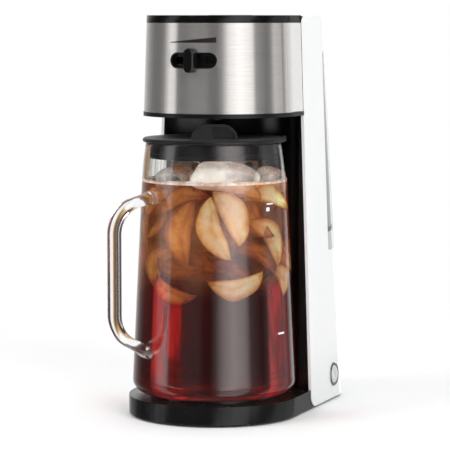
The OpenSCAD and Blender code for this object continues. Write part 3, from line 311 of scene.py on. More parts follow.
def fromSeat(angle, reach, height):
    # point that far from the pitcher's axis, in a direction turned from the front to the right
    angle = np.radians(angle)
    return np.stack(np.broadcast_arrays(reach * np.sin(angle),
                                        view["axisY"] - reach * np.cos(angle), height), -1)


def fixNormals(piece):
    # merges doubled points, then turns all faces outwards
    work = bmesh.new()
    work.from_mesh(piece.data)
    bmesh.ops.remove_doubles(work, verts=work.verts, dist=1e-7)
    bmesh.ops.recalc_face_normals(work, faces=work.faces)
    work.to_mesh(piece.data)
    work.free()
    return piece


# materials of the pieces that come from the CAD
def mouldedPlastic(name, colour, rough, grain, ripple, shine=0.5, marks=0.1):
    # moulded plastic: slow ripple of the mould, fine grain, faint dust and finger marks
    p = Paint(name)
    wide = p.noise(34, 2, 0.5)
    fine = p.noise(2600, 2, 0.6)
    smudge = p.noise(60, 4, 0.62).step(0.5, 0.72)
    height = wide * ripple + fine * grain
    paler = tinted(colour, 1.25, 0.006)
    return p.finish({"Base Color": p.mix(smudge * marks + fine * 0.05, colour, paler),
                     "Roughness": rough + smudge * marks * 0.7 + fine * 0.03,
                     "Specular IOR Level": shine, "Normal": p.bump(height, 0.25, 0.0004)})


# brushed steel band; behind rollFrom its ends roll in towards the seam
steel = {"light": (0.66, 0.635, 0.615, 1), "dark": (0.46, 0.44, 0.425, 1), "rough": 0.08,
         "rollFrom": -33.5 * mm, "rollSlope": 0.25}


def brushedSteel():
    # brush lines run level round the band, so the pattern changes fast with height only
    p = Paint("brushedSteel")
    lines = p.noise(1.0, 3, 0.7, p.stretched(26, 26, 5200))
    hair = p.noise(1.0, 2, 0.6, p.stretched(70, 70, 16000))
    cloud = p.noise(14, 3, 0.6)
    streak = (lines * 0.6 + hair * 0.4).step(0.34, 0.68)
    # the roll is a height that grows evenly behind rollFrom
    roll = p.axes()[1] - steel["rollFrom"]
    roll = roll.math("MAXIMUM", roll, 0.0) * -steel["rollSlope"]
    return p.finish({"Base Color": p.mix(streak * 0.7 + cloud * 0.3, steel["dark"], steel["light"]),
                     "Metallic": 0.76, "Roughness": steel["rough"] + streak * 0.06,
                     "Normal": p.bump(lines + hair * 0.6, 0.10, 0.00006, p.bump(roll, 1.0, 1.0))})


def brightMetal(name, colour, rough):
    # bare metal with small dull spots
    p = Paint(name)
    spots = p.noise(420, 3, 0.6)
    return p.finish({"Base Color": p.mix(spots * 0.3, colour, tinted(colour, 0.75)),
                     "Metallic": 1.0, "Roughness": rough + spots * 0.08,
                     "Normal": p.bump(spots, 0.1, 0.00008)})


def softRubber(name, colour, rough=0.62):
    # matt, fine-grained and dusty in patches; also serves for silicone and ceramic
    p = Paint(name)
    grain = p.noise(1900, 3, 0.65)
    dust = p.noise(90, 3, 0.6).step(0.45, 0.75)
    return p.finish({"Base Color": p.mix(dust * 0.3, colour, tinted(colour, 1.5, 0.01)),
                     "Roughness": rough + grain * 0.12, "Normal": p.bump(grain, 0.3, 0.00015)})


def clearPlastic(name, colour, rough):
    # clear moulding, a little cloudy
    p = Paint(name)
    cloud = p.noise(26, 3, 0.6)
    return p.finish({"Base Color": p.mix(cloud * 0.12, colour, tinted(colour, 0.9)),
                     "Transmission Weight": 1.0, "IOR": 1.49,
                     "Roughness": rough + cloud * 0.05,
                     "Normal": p.bump(cloud, 0.05, 0.0003)}, clearForLamps=colour)


# level window over the tank's side: heights in millimetres of its grey crossbar's lower and upper
# edge, of the paler stretch that starts under it, and of the duller stretch at its foot
levelWindow = {"barFoot": (152.0, 152.6), "barTop": (157.0, 156.4), "paleTop": (152.4, 152.0),
               "greyer": (300, 180), "bar": rgb(128, 131, 134), "pale": rgb(222, 225, 226),
               "clear": rgb(196, 199, 201), "cloudy": rgb(168, 172, 175)}


def windowPlastic():
    p = Paint("windowPlastic")
    cloud, z = p.noise(26, 3, 0.6), p.axes()[2]
    w = levelWindow
    bar = z.between(w["barFoot"]) * z.between(w["barTop"])
    tint = p.mix(cloud * 0.2 + z.between(w["greyer"]) * 0.4, w["clear"], w["cloudy"])
    tint = p.mix(z.between(w["paleTop"]), tint, w["pale"])
    tint = p.mix(bar, tint, w["bar"])
    return p.finish({"Base Color": tint, "Transmission Weight": 0.35, "IOR": 1.49,
                     "Roughness": 0.12 + cloud * 0.08, "Normal": p.bump(cloud, 0.05, 0.0003)},
                    clearForLamps=(0.8, 0.82, 0.83, 1))


# pitcher's lid: the grip starts at this height, in millimetres; its paler grey is a painted sheen
# and highlight
pitcherLid = {"grip": (241.5, 242.5), "black": rgb(15, 15, 16), "dustAndSheen": rgb(104, 104, 106)}


def satinLid():
    # satin black; faces that look up are paler, a painted sheen broken up by wear, and the grip is
    # smoother and has a painted highlight on the side that looks right
    p = Paint("satinLid")
    grain, wear = p.noise(2600, 2, 0.6), p.noise(55, 4, 0.6).step(0.4, 0.7)
    normal = p.node("ShaderNodeNewGeometry", out=1)
    right, upward = [p.node("ShaderNodeSeparateXYZ", None, {0: normal}, out=i) for i in (0, 2)]
    grip = p.axes()[2].between(pitcherLid["grip"])
    # painted sheen on faces that look up and painted highlight on the grip's right side
    pale = upward.step(0.75, 0.98) * (1.0 - grip * 0.6) + right.step(0.3, 0.9) * grip * 0.8
    return p.finish({"Base Color": p.mix(pale * (0.75 + wear * 0.25), pitcherLid["black"],
                                         pitcherLid["dustAndSheen"]),
                     "Roughness": 0.40 - grip * 0.22 + pale * 0.06 + wear * 0.06,
                     "Specular IOR Level": 0.55, "Normal": p.bump(grain, 0.25, 0.0002)})


# rear housing: painted shade makes it greyer from the first to the second of these, in millimetres
# back and up
housing = {"back": (84, 104), "foot": (60, 8), "white": rgb(250, 251, 251),
           "dustAndSheen": rgb(243, 246, 246), "greyer": rgb(222, 225, 226)}


def housingWhite():
    # white moulding with a little dust, and painted shade that makes it greyer low down and round
    # the back
    p = Paint("housingWhite")
    wide, fine = p.noise(30, 2, 0.5), p.noise(2600, 2, 0.6)
    dust = p.noise(9, 3, 0.6).step(0.5, 0.8)
    back, up = p.axes()[1:]
    # painted shade round the back and low down
    shade = back.between(housing["back"]) * 0.7 + up.between(housing["foot"]) * 0.3
    white = p.mix(dust * 0.25 + fine * 0.06, housing["white"], housing["dustAndSheen"])
    return p.finish({"Base Color": p.mix(shade, white, housing["greyer"]),
                     "Roughness": 0.19 + dust * 0.05 + fine * 0.03,
                     "Normal": p.bump(wide * 0.25 + fine * 0.03, 0.25, 0.0004)})


blackGloss = mouldedPlastic("blackGloss", rgb(11, 11, 12), 0.15, 0.02, 0.5, shine=0.32)
blackSatin = mouldedPlastic("blackSatin", rgb(15, 15, 16), 0.33, 0.3, 0.2, shine=0.34)
whiteGloss = mouldedPlastic("whiteGloss", rgb(247, 250, 250), 0.2, 0.03, 0.2, marks=0.03)
baseBlack = mouldedPlastic("baseBlack", rgb(18, 18, 19), 0.24, 0.05, 0.4, shine=0.3)
seamRubber = softRubber("seamRubber", rgb(9, 9, 9), 0.7)
blackRubber = softRubber("blackRubber", rgb(26, 26, 26))
paleSilicone = softRubber("paleSilicone", rgb(214, 212, 204), 0.45)
paleCeramic = softRubber("paleCeramic", rgb(222, 220, 212), 0.5)
plainSteel = brightMetal("plainSteel", rgb(176, 176, 176), 0.3)
castAluminium = brightMetal("castAluminium", rgb(186, 188, 190), 0.42)
darkChrome = brightMetal("darkChrome", rgb(150, 152, 154), 0.07)
capGrey = mouldedPlastic("capGrey", rgb(206, 211, 211), 0.22, 0.03, 0.6, marks=0.3)

finishes = {
    "base_tray": baseBlack, "base_plate": blackSatin, "rubber_feet": blackRubber,
    "base_screws": plainSteel, "column_panel": blackGloss, "rear_housing": housingWhite(),
    "head_frame": blackSatin, "seam_strip": seamRubber, "steel_band": brushedSteel(),
    "slot_liner": blackSatin,
    "water_tank": clearPlastic("tankPlastic", rgb(222, 232, 236), 0.14),
    "tank_seal": paleSilicone, "level_window": windowPlastic(),
    "heater": castAluminium, "heater_clamps": plainSteel, "thermostat": castAluminium,
    "thermal_fuse": paleCeramic, "inlet_hose": paleSilicone,
    "check_valve": clearPlastic("valvePlastic", rgb(220, 226, 230), 0.25),
    "riser_hose": paleSilicone, "water_nozzle": blackSatin, "power_switch": blackSatin,
    "button_ring": darkChrome, "cord_gland": blackRubber, "terminal_block": paleCeramic,
    "tank_lid_pins": plainSteel, "strength_lever": blackGloss, "lever_carrier": blackSatin,
    "brew_basket": blackSatin, "filter_frame": blackSatin, "filter_mesh": plainSteel,
    "basket_lid_pin": plainSteel, "basket_lid": blackGloss, "tank_lid": whiteGloss,
    "button_cap": capGrey, "button_spring": plainSteel, "pitcher_lid": satinLid(),
    "lid_gasket": blackRubber}
# width of the rounding on a piece's edges, in millimetres
rounded = {"base_tray": 0.8, "pitcher_lid": 0.5, "basket_lid": 0.6, "strength_lever": 0.5,
           "button_ring": 0.25, "tank_lid": 0.5}


def paintNode(node, material):
    mesh = nodes[node].data
    mesh.materials.clear()
    mesh.materials.append(material)
    mesh.polygons.foreach_set("material_index", np.zeros(len(mesh.polygons), np.int32))


def roundEdges(node, width):
    # welds a piece's loose triangles and rounds its edges a little
    weld = nodes[node].modifiers.new("weld", "WELD")
    weld.merge_threshold = 1e-6
    edge = nodes[node].modifiers.new("edge", "BEVEL")
    edge.width, edge.segments = width * mm, 3
    edge.limit_method, edge.angle_limit = "ANGLE", math.radians(35)
    edge.use_clamp_overlap = True
    edge.harden_normals = True


for node, material in finishes.items():
    paintNode(node, material)
print("pieces painted:", len(finishes))
for node, width in rounded.items():
    roundEdges(node, width)
print("edges rounded:", len(rounded), "pieces")


# pitcher: clear glass in one piece with its handle, in millimetres and degrees
pitcher = {"foot": 20.0, "height": 217.0, "radius": 71.2, "lean": 0.049, "mouth": 59.1,
           "neck": 32.0, "round": 11.0, "wall": 3.0, "floor": 6.0, "handleAngle": -34.0,
           # radius and rise: hollow under the floor, and its inside
           "punt": [(0, 2.2), (20, 2.2), (44, 1.8), (52, 0.5), (56, 0.0)],
           "crown": [(0, 0.8), (20, 0.5), (44, 0.0)],
           # pouring lip: how far it leans out, over what height, and its half width in radians
           "lip": 5.0, "lipTall": 24.0, "lipWide": 0.17,
           # grey upright streaks painted on the glass as its reflections: from the first to the
           # second, across and up
           "reflectionStreaksLeft": (-38, -52), "reflectionStreaksUp": (188, 205)}
handleBar = {"reach": 101.8, "width": 14.0, "thick": 9.0, "bend": 27.0, "low": 73.0,
             "high": 141.5, "topTurn": 78.0, "footTurn": 62.0, "topLeg": 22.0, "footLeg": 24.0,
             "spread": 9.0, "spreadThick": 0.5, "spreadWide": 0.25}


def clearGlass():
    p = Paint("clearGlass")
    swirl = p.noise(9, 2, 0.5, p.stretched(1, 1, 0.35))
    smear = p.noise(30, 4, 0.6).step(0.55, 0.8)
    # painted reflection: grey upright streaks darken the glass high on the left
    paintedStreak = p.noise(1.0, 3, 0.6, p.stretched(260, 260, 9)).step(0.42, 0.66)
    right, up = p.axes()[::2]
    paintedStreak = paintedStreak * right.between(pitcher["reflectionStreaksLeft"]) * up.between(pitcher["reflectionStreaksUp"])
    return p.finish({"Base Color": p.mix(paintedStreak, (0.985, 0.995, 0.99, 1), (0.60, 0.60, 0.58, 1)),
                     "Transmission Weight": 1.0, "IOR": 1.5,
                     "Roughness": smear * 0.02, "Normal": p.bump(swirl, 0.25, 0.0012)},
                    clearForLamps=(0.97, 0.98, 0.98, 1))


def glassRadius(height):
    # straight lean from foot to neck, then a parabola that draws the neck in to the mouth
    g = pitcher
    straight = g["radius"] - g["lean"] * (height - g["round"])
    atMouth = g["radius"] - g["lean"] * (g["height"] - g["round"]) - g["mouth"]
    above = np.maximum(0.0, height - (g["height"] - g["neck"])) / g["neck"]
    return straight - atMouth * above ** 2


def glassProfile(inset, bottom, top):
    # quarter circle at the foot, then the wall; inset from the outside
    g = pitcher
    a = np.linspace(-np.pi / 2, 0, 14)
    r = g["round"] - inset
    foot = np.stack([g["radius"] - g["round"] + r * np.cos(a), bottom + r * (1 + np.sin(a))], -1)
    h = np.linspace(bottom + r, top, 60)[1:]
    return np.vstack([foot, np.stack([glassRadius(np.maximum(h, g["round"])) - inset, h], -1)])


def lipReach(height, angle):
    # the lip leans out near the mouth, opposite the handle, as a narrow bell of the angle
    g = pitcher
    off = np.angle(np.exp(1j * (angle - np.radians(180 + g["handleAngle"]))))
    below = g["foot"] + g["height"] - g["lipTall"]
    rise = np.clip((height / mm - below) / g["lipTall"], 0, 1) ** 1.6
    return g["lip"] * mm * rise * np.exp(-(off / g["lipWide"]) ** 2)


def makeGlass(material):
    # outside, a half circle over the rim, inside and floor, turned about the pitcher's axis
    g = pitcher
    half = g["wall"] / 2
    outer = glassProfile(0.0, 0.0, g["height"] - half)
    a = np.linspace(0, np.pi, 9)
    rim = np.stack([outer[-1, 0] - half + half * np.cos(a),
                    g["height"] - half + half * np.sin(a)], -1)
    inner = glassProfile(g["wall"], g["floor"], g["height"] - half)[::-1]
    floor = np.array(g["crown"])[::-1] + (0, g["floor"])
    profile = np.vstack([g["punt"], outer, rim[1:], inner[1:], floor])
    profile[:, 1] += g["foot"]
    points, faces = lathe(profile * mm, 224, lipReach)
    glass = fixNormals(makePiece("pitcherGlass", points, faces, material, 60))
    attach(glass, "pitcher")
    return glass


def makeHandle(material):
    # straight upright between two arcs, with a short leg from each arc into the wall
    h = handleBar
    turnTop = np.radians(np.linspace(0, h["topTurn"], 22))
    turnFoot = np.radians(np.linspace(0, h["footTurn"], 20))
    middle = h["reach"] - h["bend"]
    top = np.stack([middle + h["bend"] * np.cos(turnTop),
                    h["high"] + h["bend"] * np.sin(turnTop)], -1)
    foot = np.stack([middle + h["bend"] * np.cos(turnFoot),
                     h["low"] - h["bend"] * np.sin(turnFoot)], -1)
    upright = np.linspace(h["high"], h["low"], 12)[1:-1]
    away = np.array([-np.sin(turnTop[-1]), np.cos(turnTop[-1])])
    down = np.array([-np.sin(turnFoot[-1]), -np.cos(turnFoot[-1])])
    leg = np.linspace(0, 1, 9)[1:, None]
    line = np.vstack([(top[-1] + away * h["topLeg"] * leg)[::-1], top[::-1],
                      np.stack([np.full(len(upright), h["reach"]), upright], -1),
                      foot, foot[-1] + down * h["footLeg"] * leg])
    # the ends spread where they run into the wall
    far = np.concatenate([[0], np.cumsum(np.linalg.norm(np.diff(line, axis=0), axis=1))])
    near = np.exp(-(far / h["spread"]) ** 2) + np.exp(-((far[-1] - far) / h["spread"]) ** 2)
    scale = np.stack([1 + h["spreadThick"] * near, 1 + h["spreadWide"] * near], -1)
    path = fromSeat(pitcher["handleAngle"], line[:, 0] * mm, (line[:, 1] + pitcher["foot"]) * mm)
    turn = math.radians(pitcher["handleAngle"])
    side = np.array([math.cos(turn), math.sin(turn), 0.0])
    t = np.linspace(0, 2 * np.pi, 40, endpoint=False)
    section = np.stack([squarish(np.cos(t)) * h["thick"] / 2,
                        squarish(np.sin(t)) * h["width"] / 2], -1) * mm
    points, faces = sweep(path, side, section, scale)
    handle = fixNormals(makePiece("pitcherHandle", points, faces, material, 60))
    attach(handle, "pitcher")


glassPaint = clearGlass()
glass = makeGlass(glassPaint)
makeHandle(glassPaint)
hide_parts("glass_pitcher")
print("pitcher made")


# tea in the pitcher; it reaches a little into the glass, so that no air is between them
tea = {"top": 204.0, "overlap": 0.12, "climb": 1.9, "climbWide": 1.6,
       "colour": (0.76, 0.38, 0.14, 1), "density": 38.0, "forLamps": (0.96, 0.955, 0.95, 1),
       # upright bands of painted glow where light comes through the tea: middle and half width in
       # degrees from the front, bottom and top in millimetres, strength; their ripples fade out
       # upwards
       "glow": [(-23.0, 8.0, 24, 124, 0.9), (-8.5, 6.5, 56, 106, 0.75), (-14, 15, 24, 116, 0.22),
                (72.5, 9.0, 24, 122, 0.95), (86.0, 6.0, 24, 160, 0.35)],
       "glowColour": (0.30, 0.010, 0.009, 1), "ripplesFade": (30, 52),
       # painted glow that the tea emits low down, under the veil
       "deepGlow": (0.016, 0.004, 0.004, 1),
       # the painted glow veil that the tea emits between the slices fades in from the first height
       # to the second
       "glowVeil": (104, 140), "glowVeilDark": (0.034, 0.009, 0.004, 1),
       "glowVeilPale": (0.150, 0.056, 0.020, 1)}


def teaGlow(p):
    # each band is a smooth step of the bearing round the pitcher's axis times two of the height;
    # slow waves and ripples break them up
    x, y, z = p.axes()
    bearing = x.math("ARCTAN2", x, (y - view["axisY"]) * -1.0) * (180 / math.pi)
    waves = p.noise(1.0, 2, 0.5, p.stretched(130, 130, 22)).step(0.30, 0.62, 0.35, 1.0)
    ripple = p.noise(1.0, 2, 0.6, p.stretched(40, 40, 420)).step(0.42, 0.6, 0.4, 1.0)
    calm = z.between(tea["ripplesFade"])
    total = 0.0
    for middle, half, bottom, top, strength in tea["glow"]:
        off = bearing - middle
        band = off.math("ABSOLUTE", off, 0.0).step(half * 0.7, half, 1.0, 0.0)
        band = band * z.between((bottom - 4, bottom + 6))
        band = band * z.between((top - 10, top + 2), 1.0, 0.0)
        total = band * strength + total
    return total * waves * (calm + (1.0 - calm) * ripple)


def teaPaint():
    # clear liquid that takes up light on its way through, with a painted glow and veil added as
    # emitted light
    p = Paint("tea")
    # painted light: the veil and the glow bands are emitted by the tea
    glowVeil = p.mix(p.noise(26, 3, 0.55).step(0.34, 0.66), tea["glowVeilDark"], tea["glowVeilPale"])
    glowVeil = p.mix(p.axes()[2].between(tea["glowVeil"]), tea["deepGlow"], glowVeil)
    shader = p.surface({"Base Color": (1, 1, 1, 1), "Transmission Weight": 1.0, "IOR": 1.33,
                        "Roughness": 0.0,
                        "Emission Color": p.mix(teaGlow(p), glowVeil, tea["glowColour"]),
                        "Emission Strength": 1.0})
    shader = p.letLampsPass(shader, tea["forLamps"])
    volume = p.node("ShaderNodeVolumeAbsorption", None,
                    {"Color": tea["colour"], "Density": tea["density"]})
    p.output(shader, volume)
    return p.material


def makeTea():
    # the pitcher's inside as a solid; its surface climbs the wall as an exponential
    g = pitcher
    level = tea["top"] - g["foot"] - 1.0  # in the middle; top is where it meets the wall
    base = g["floor"] - tea["overlap"]
    body = glassProfile(g["wall"] - tea["overlap"], base, level)
    reach = np.array([0.0, 0.6, 1.4, 2.4, 4.0, 7.0])
    surface = np.stack([body[-1, 0] - reach,
                        level + tea["climb"] * np.exp(-reach / tea["climbWide"])], -1)
    surface[0, 1] = level + 2.0
    flat = np.array([[radius, level] for radius in (44, 30, 15, 0)], float)
    profile = np.vstack([np.array(g["crown"]) + (0, base), body, surface, flat])
    profile[:, 1] += g["foot"]
    points, faces = lathe(profile * mm, 160)
    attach(fixNormals(makePiece("tea", points, faces, teaPaint(), 80)), "pitcher")


def placed(points, right, depth, height, turn):
    # puts local points in the pitcher: right and depth as seen by the camera, in millimetres;
    # spun about their own long axis, then nodded to the camera, then leant in the picture
    nod, spin, lean = np.radians(turn)
    move = (np.array([[math.cos(lean), 0, math.sin(lean)], [0, 1, 0],
                      [-math.sin(lean), 0, math.cos(lean)]])
            @ np.array([[1, 0, 0], [0, math.cos(nod), -math.sin(nod)],
                        [0, math.sin(nod), math.cos(nod)]])
            @ np.array([[math.cos(spin), -math.sin(spin), 0],
                        [math.sin(spin), math.cos(spin), 0], [0, 0, 1]]))
    local = points @ move.T + np.array([right, depth, 0.0])
    t = math.radians(view["azimuth"])
    x = local[:, 0] * math.cos(t) - local[:, 1] * math.sin(t)
    y = local[:, 0] * math.sin(t) + local[:, 1] * math.cos(t)
    return np.stack([x * mm, view["axisY"] + y * mm, (local[:, 2] + height) * mm], -1)


# slices of apple: right, depth, height, length, width, (nod, spin, lean), how far the tea has
# stained them; spin 0 turns the round side to the right and 180 to the left
slices = [
    (17, -44, 178, 51, 18, (0, 28, -25), 0.0), (-3, -48, 164, 56, 18, (0, 146, -17), 0.0),
    (-28, -36, 163, 58, 21, (0, 158, 7), 0.38), (19, -46, 116, 47, 19, (0, 28, 80), 0.0),
    (-45, -24, 134, 38, 20, (0, 150, 30), 0.5), (-34, -34, 110, 38, 16, (0, 150, -62), 0.42),
    (45, -27, 157, 48, 20, (0, 30, -36), 0.16), (44, -30, 193, 40, 17, (0, 30, -78), 0.12),
    (53, -16, 122, 30, 16, (0, 30, -30), 0.05), (34, -24, 142, 38, 19, (10, 50, -60), 0.6),
    (-9, -30, 138, 30, 18, (0, 130, -40), 0.55), (-27, -26, 129, 40, 18, (0, 140, -80), 0.55),
    (-46, -20, 190, 36, 18, (10, 150, 50), 0.36), (-55, -12, 166, 44, 15, (0, 170, 8), 0.4),
    (-24, -28, 191, 40, 17, (0, 140, 72), 0.4), (20, -33, 198, 36, 14, (0, 30, -84), 0.25),
    (3, -24, 147, 40, 19, (10, 20, 30), 0.55), (31, -28, 170, 38, 17, (0, 160, -30), 0.45),
    (-13, -26, 180, 44, 18, (10, 20, 20), 0.4), (10, -22, 130, 40, 18, (10, 20, -70), 0.6)]
plump = {0: 0.30, 1: 0.26, 2: 0.12}  # how far the core side of these slices swells, in widths
# more slices behind them, on a spiral that the golden angle steps
spiral = {"count": 34, "step": 137.5, "start": 20, "radius": 47, "flat": 0.62, "depth": 6}


def allSlices():
    # the remainders of steps that share no factor spread heights, sizes and turns evenly
    made, count = list(slices), spiral["count"]
    for i in range(count):
        turn = math.radians(spiral["step"] * i + spiral["start"])
        reach = spiral["radius"] * math.sqrt((i + 0.5) / count)
        right = reach * math.sin(turn)
        depth = spiral["depth"] + spiral["flat"] * reach * math.cos(turn)
        turns = ((i * 41) % 60 - 30, (i * 97) % 360, (i * 67) % 150 - 75)
        made.append((right, depth, 122 + (i * 29) % 76, 46 + (i * 7) % 9, 21 + (i * 5) % 4,
                     turns, 0.3 + (i % 4) * 0.1))
    return made


def makeSlices(material):
    # a slice is a wedge of apple: each section is a sector between a core edge and the skin, and
    # the skin's reach falls to both tips as a power of the half ellipse
    rows, skin, side = 33, 9, 9
    u = np.sin(np.linspace(-np.pi / 2, np.pi / 2, rows))[:, None]
    s = np.linspace(-1, 1, skin)
    r = np.linspace(1, 0, side + 1)[1:]
    # round the section: skin from low to high, down one cut face, up the other
    across = np.concatenate([s, np.ones(side), -np.ones(side - 1)])[None, :]
    out = np.concatenate([np.ones(skin), r, r[::-1][1:]])[None, :]
    for i, (right, depth, height, length, width, turn, stain) in enumerate(allSlices()):
        fall = np.maximum(1e-4, 1 - np.abs(u) ** 2) ** 0.55
        core = width * (0.04 + 0.07 * np.exp(-(u / 0.35) ** 2)) * fall
        reach = core + (width * fall * (1 + 0.05 * np.sin(4 * u + i)) - core) * out
        half = np.radians(23 + 3 * math.sin(i))
        sag = 0.5 * np.sin(2.5 * u + 1.7 * i)
        bow = width * 0.09 * (0.5 - u ** 2) - plump.get(i, 0.0) * width * (1 - u ** 2) * (1 - out)
        x = reach * np.cos(across * half) - 0.55 * width + bow
        y = reach * np.sin(across * half) + sag + 0.35 * np.sin(5 * u + 4 * out + i)
        z = np.broadcast_to(u * length / 2, x.shape)
        points = placed(np.stack([x, y, z], -1).reshape(-1, 3), right, depth, height, turn)
        count = x.shape[1]
        faces = gridFaces(rows, count, True).tolist()
        faces += [list(range(count))[::-1], [(rows - 1) * count + k for k in range(count)]]
        piece = makePiece(f"appleSlice{i + 1:02d}", points, faces, material, 70)
        # tone: how brown the flesh is: more at the tips and at the skin, partly browning and partly
        # painted shade where the slice rounds off, along the core line and where tea soaked in
        # painted shade together with browning: darker towards the skin edge and the tips
        skinEdge = np.abs(2 * out - 0.8) ** 3
        coreLine = 0.16 * np.exp(-((out - 0.34 - 0.05 * np.sin(6 * u + i)) / 0.09) ** 2)
        coreLine = coreLine + 0.3 * np.exp(-(out / 0.1) ** 2)
        tone = np.clip(stain + 0.5 * np.abs(u) ** 4 + 0.36 * skinEdge + coreLine + 0 * x, 0, 1)
        layer = piece.data.attributes.new("tone", "FLOAT", "POINT")
        layer.data.foreach_set("value", tone.reshape(-1).astype(np.float32))
        piece = fixNormals(piece)
        edge = piece.modifiers.new("edge", "BEVEL")
        edge.width, edge.segments = 2.2 * mm, 3
        edge.limit_method, edge.angle_limit = "ANGLE", math.radians(38)
        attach(piece, "pitcher")


def appleFlesh():
    # pale green to brown by the slice's tone and slow stains, with fine fibres
    p = Paint("appleFlesh")
    fibre = p.noise(240, 4, 0.6)
    stain = p.noise(70, 3, 0.6).step(0.38, 0.7)
    tone = p.node("ShaderNodeAttribute", {"attribute_name": "tone"}, out=2)
    soaked = tone * 0.85 + stain * 0.22
    colour = p.node("ShaderNodeValToRGB", {"stops": [
        (0.0, rgb(240, 252, 236)), (0.2, rgb(228, 226, 178)), (0.45, rgb(202, 162, 82)),
        (0.75, rgb(140, 76, 28)), (1.0, rgb(84, 36, 16))]}, {0: soaked})
    colour = p.mix(fibre * 0.22, colour, p.mix(0.4, colour, rgb(246, 232, 196)))
    return p.finish({"Base Color": colour, "Roughness": 0.42 + fibre * 0.15,
                     "Subsurface Weight": 0.2, "Subsurface Radius": (0.01, 0.006, 0.003),
                     "Subsurface Scale": 0.4, "Normal": p.bump(fibre, 0.35, 0.0006)})


# ice cubes: right, depth, height, length, width, tall, (nod, spin, lean)
ice = [(8, -31, 208, 54, 24, 27, (14, 8, 14)), (47, -14, 205, 24, 20, 20, (16, 50, 12)),
       (-32, -22, 205, 34, 22, 21, (-14, 60, -10)), (24, 22, 208, 34, 26, 24, (18, 30, -20)),
       (-20, 24, 208, 36, 26, 24, (-10, 15, 12))]


def iceGlass(name, frosted, glow):
    # clear ice with frosted patches that give off a painted glow, glow being its strength; frosted
    # is the largest share of them
    p = Paint(name)
    frost = p.noise(48, 2, 0.45)
    crack = p.noise(90, 2, 0.5).step(0.54, 0.66)
    clear = p.surface({"Base Color": (1, 1, 1, 1), "Transmission Weight": 1.0, "IOR": 1.31,
                       "Roughness": 0.02 + frost * 0.05, "Normal": p.bump(frost, 0.5, 0.003)})
    # painted light: the frosted patches glow, brighter than the shade under the lid allows
    cloudy = p.surface({"Base Color": rgb(250, 248, 240), "Roughness": 0.12 + frost * 0.1,
                        "Emission Color": (glow, glow * 0.95, glow * 0.87, 1),
                        "Emission Strength": 1.0,
                        "Normal": p.bump(frost + crack * 0.1, 0.4, 0.002)})
    share = frost.step(0.36, 0.60, frosted * 0.12, frosted) + crack * 0.1
    p.output(p.letLampsPass(p.blend(share, clear, cloudy), (0.9, 0.9, 0.9, 1)))
    return p.material


def makeIce():
    # a melted cube: a sphere squared off both ways, whose faces are dented by slow waves
    rows, columns = 41, 72
    v = np.linspace(-np.pi / 2, np.pi / 2, rows)[:, None]
    h = np.linspace(0, 2 * np.pi, columns, endpoint=False)[None, :]
    x, y = squarish(np.cos(v)) * squarish(np.cos(h)), squarish(np.cos(v)) * squarish(np.sin(h))
    z = squarish(np.sin(v)) + 0 * h
    bright, clear = iceGlass("brightIce", 0.80, 0.24), iceGlass("clearIce", 0.30, 0.02)
    for i, (right, depth, height, length, wide, tall, turn) in enumerate(ice):
        dent = (1 + 0.08 * np.sin(3 * x + 2 * y + i) + 0.07 * np.cos(3 * z - 2 * x + 2 * i)
                - 0.16 * np.exp(-((x - 0.1) ** 2 + (z - 0.2) ** 2) / 0.25))
        points = np.stack([x * dent * length / 2, y * dent * wide / 2, z * dent * tall / 2], -1)
        points = placed(points.reshape(-1, 3), right, depth, height, turn)
        faces = gridFaces(rows, columns, True).tolist()
        piece = makePiece(f"iceCube{i + 1}", points, faces, clear if i else bright, 70)
        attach(fixNormals(piece), "pitcher")


foam = {"wide": 14.0, "tall": 3.4, "under": 0.5, "pale": rgb(250, 246, 238),
        "brown": rgb(214, 190, 164)}


def makeFoam():
    # foam lies against the glass as a rim of uneven width and height, thickest at the wall: a
    # grid over it from the wall inwards, and one back under it
    f, g = foam, pitcher
    rows, columns = 12, 360
    level = tea["top"] - 0.6  # between the tea's middle and its edge
    wall = glassRadius(level - g["foot"]) - g["wall"] - 0.05  # just clear of the glass
    t = np.linspace(0, 2 * np.pi, columns, endpoint=False)[None, :]
    wave = (0.46 + 0.2 * np.sin(3 * t + 1) + 0.15 * np.sin(7 * t + 2) + 0.12 * np.sin(17 * t)
            + 0.07 * np.sin(41 * t + 1))
    s = np.linspace(0, 1, rows)[:, None]
    upper = f["tall"] * (0.35 + 0.65 * wave) * (1 - s) ** 0.6
    bubble = 0.22 * np.sin(61 * t + 9 * s) * np.sin(47 * t - 23 * s)
    reach = wall - s * f["wide"] * wave
    over = np.stack([reach, level + upper + bubble * (1 - s)], -1)
    under = np.stack([reach, np.full((rows, columns), level - f["under"])], -1)[::-1]
    grid = np.concatenate([over, under])
    points = np.stack([grid[..., 0] * np.sin(t), view["axisY"] / mm - grid[..., 0] * np.cos(t),
                       grid[..., 1]], -1) * mm
    faces = gridFaces(2 * rows, columns, True).tolist()
    k, last = np.arange(columns), (2 * rows - 1) * columns
    following = (k + 1) % columns
    faces += np.stack([last + k, last + following, following, k], -1).tolist()
    p = Paint("foam")
    bubbles = p.node("ShaderNodeTexVoronoi", None, {"Vector": p.place, "Scale": 900.0})
    stain = p.noise(120, 3, 0.6).step(0.35, 0.7)
    material = p.finish({"Base Color": p.mix(stain, f["pale"], f["brown"]),
                         "Roughness": 0.5, "Normal": p.bump(bubbles, 0.5, 0.0006)})
    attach(fixNormals(makePiece("teaFoam", points, faces, material, 80)), "pitcher")


# level marks printed on the glass: bearing in degrees, height, length and breadth; each is a
# layer from sunk to raised, measured from the glass
levelMarks = {"bars": [(77.5, 75.5, 9.0, 1.7), (69.5, 186.5, 8.0, 1.2), (67.0, 182.0, 4.0, 3.2)],
              "sunk": -0.03, "raised": 0.05}


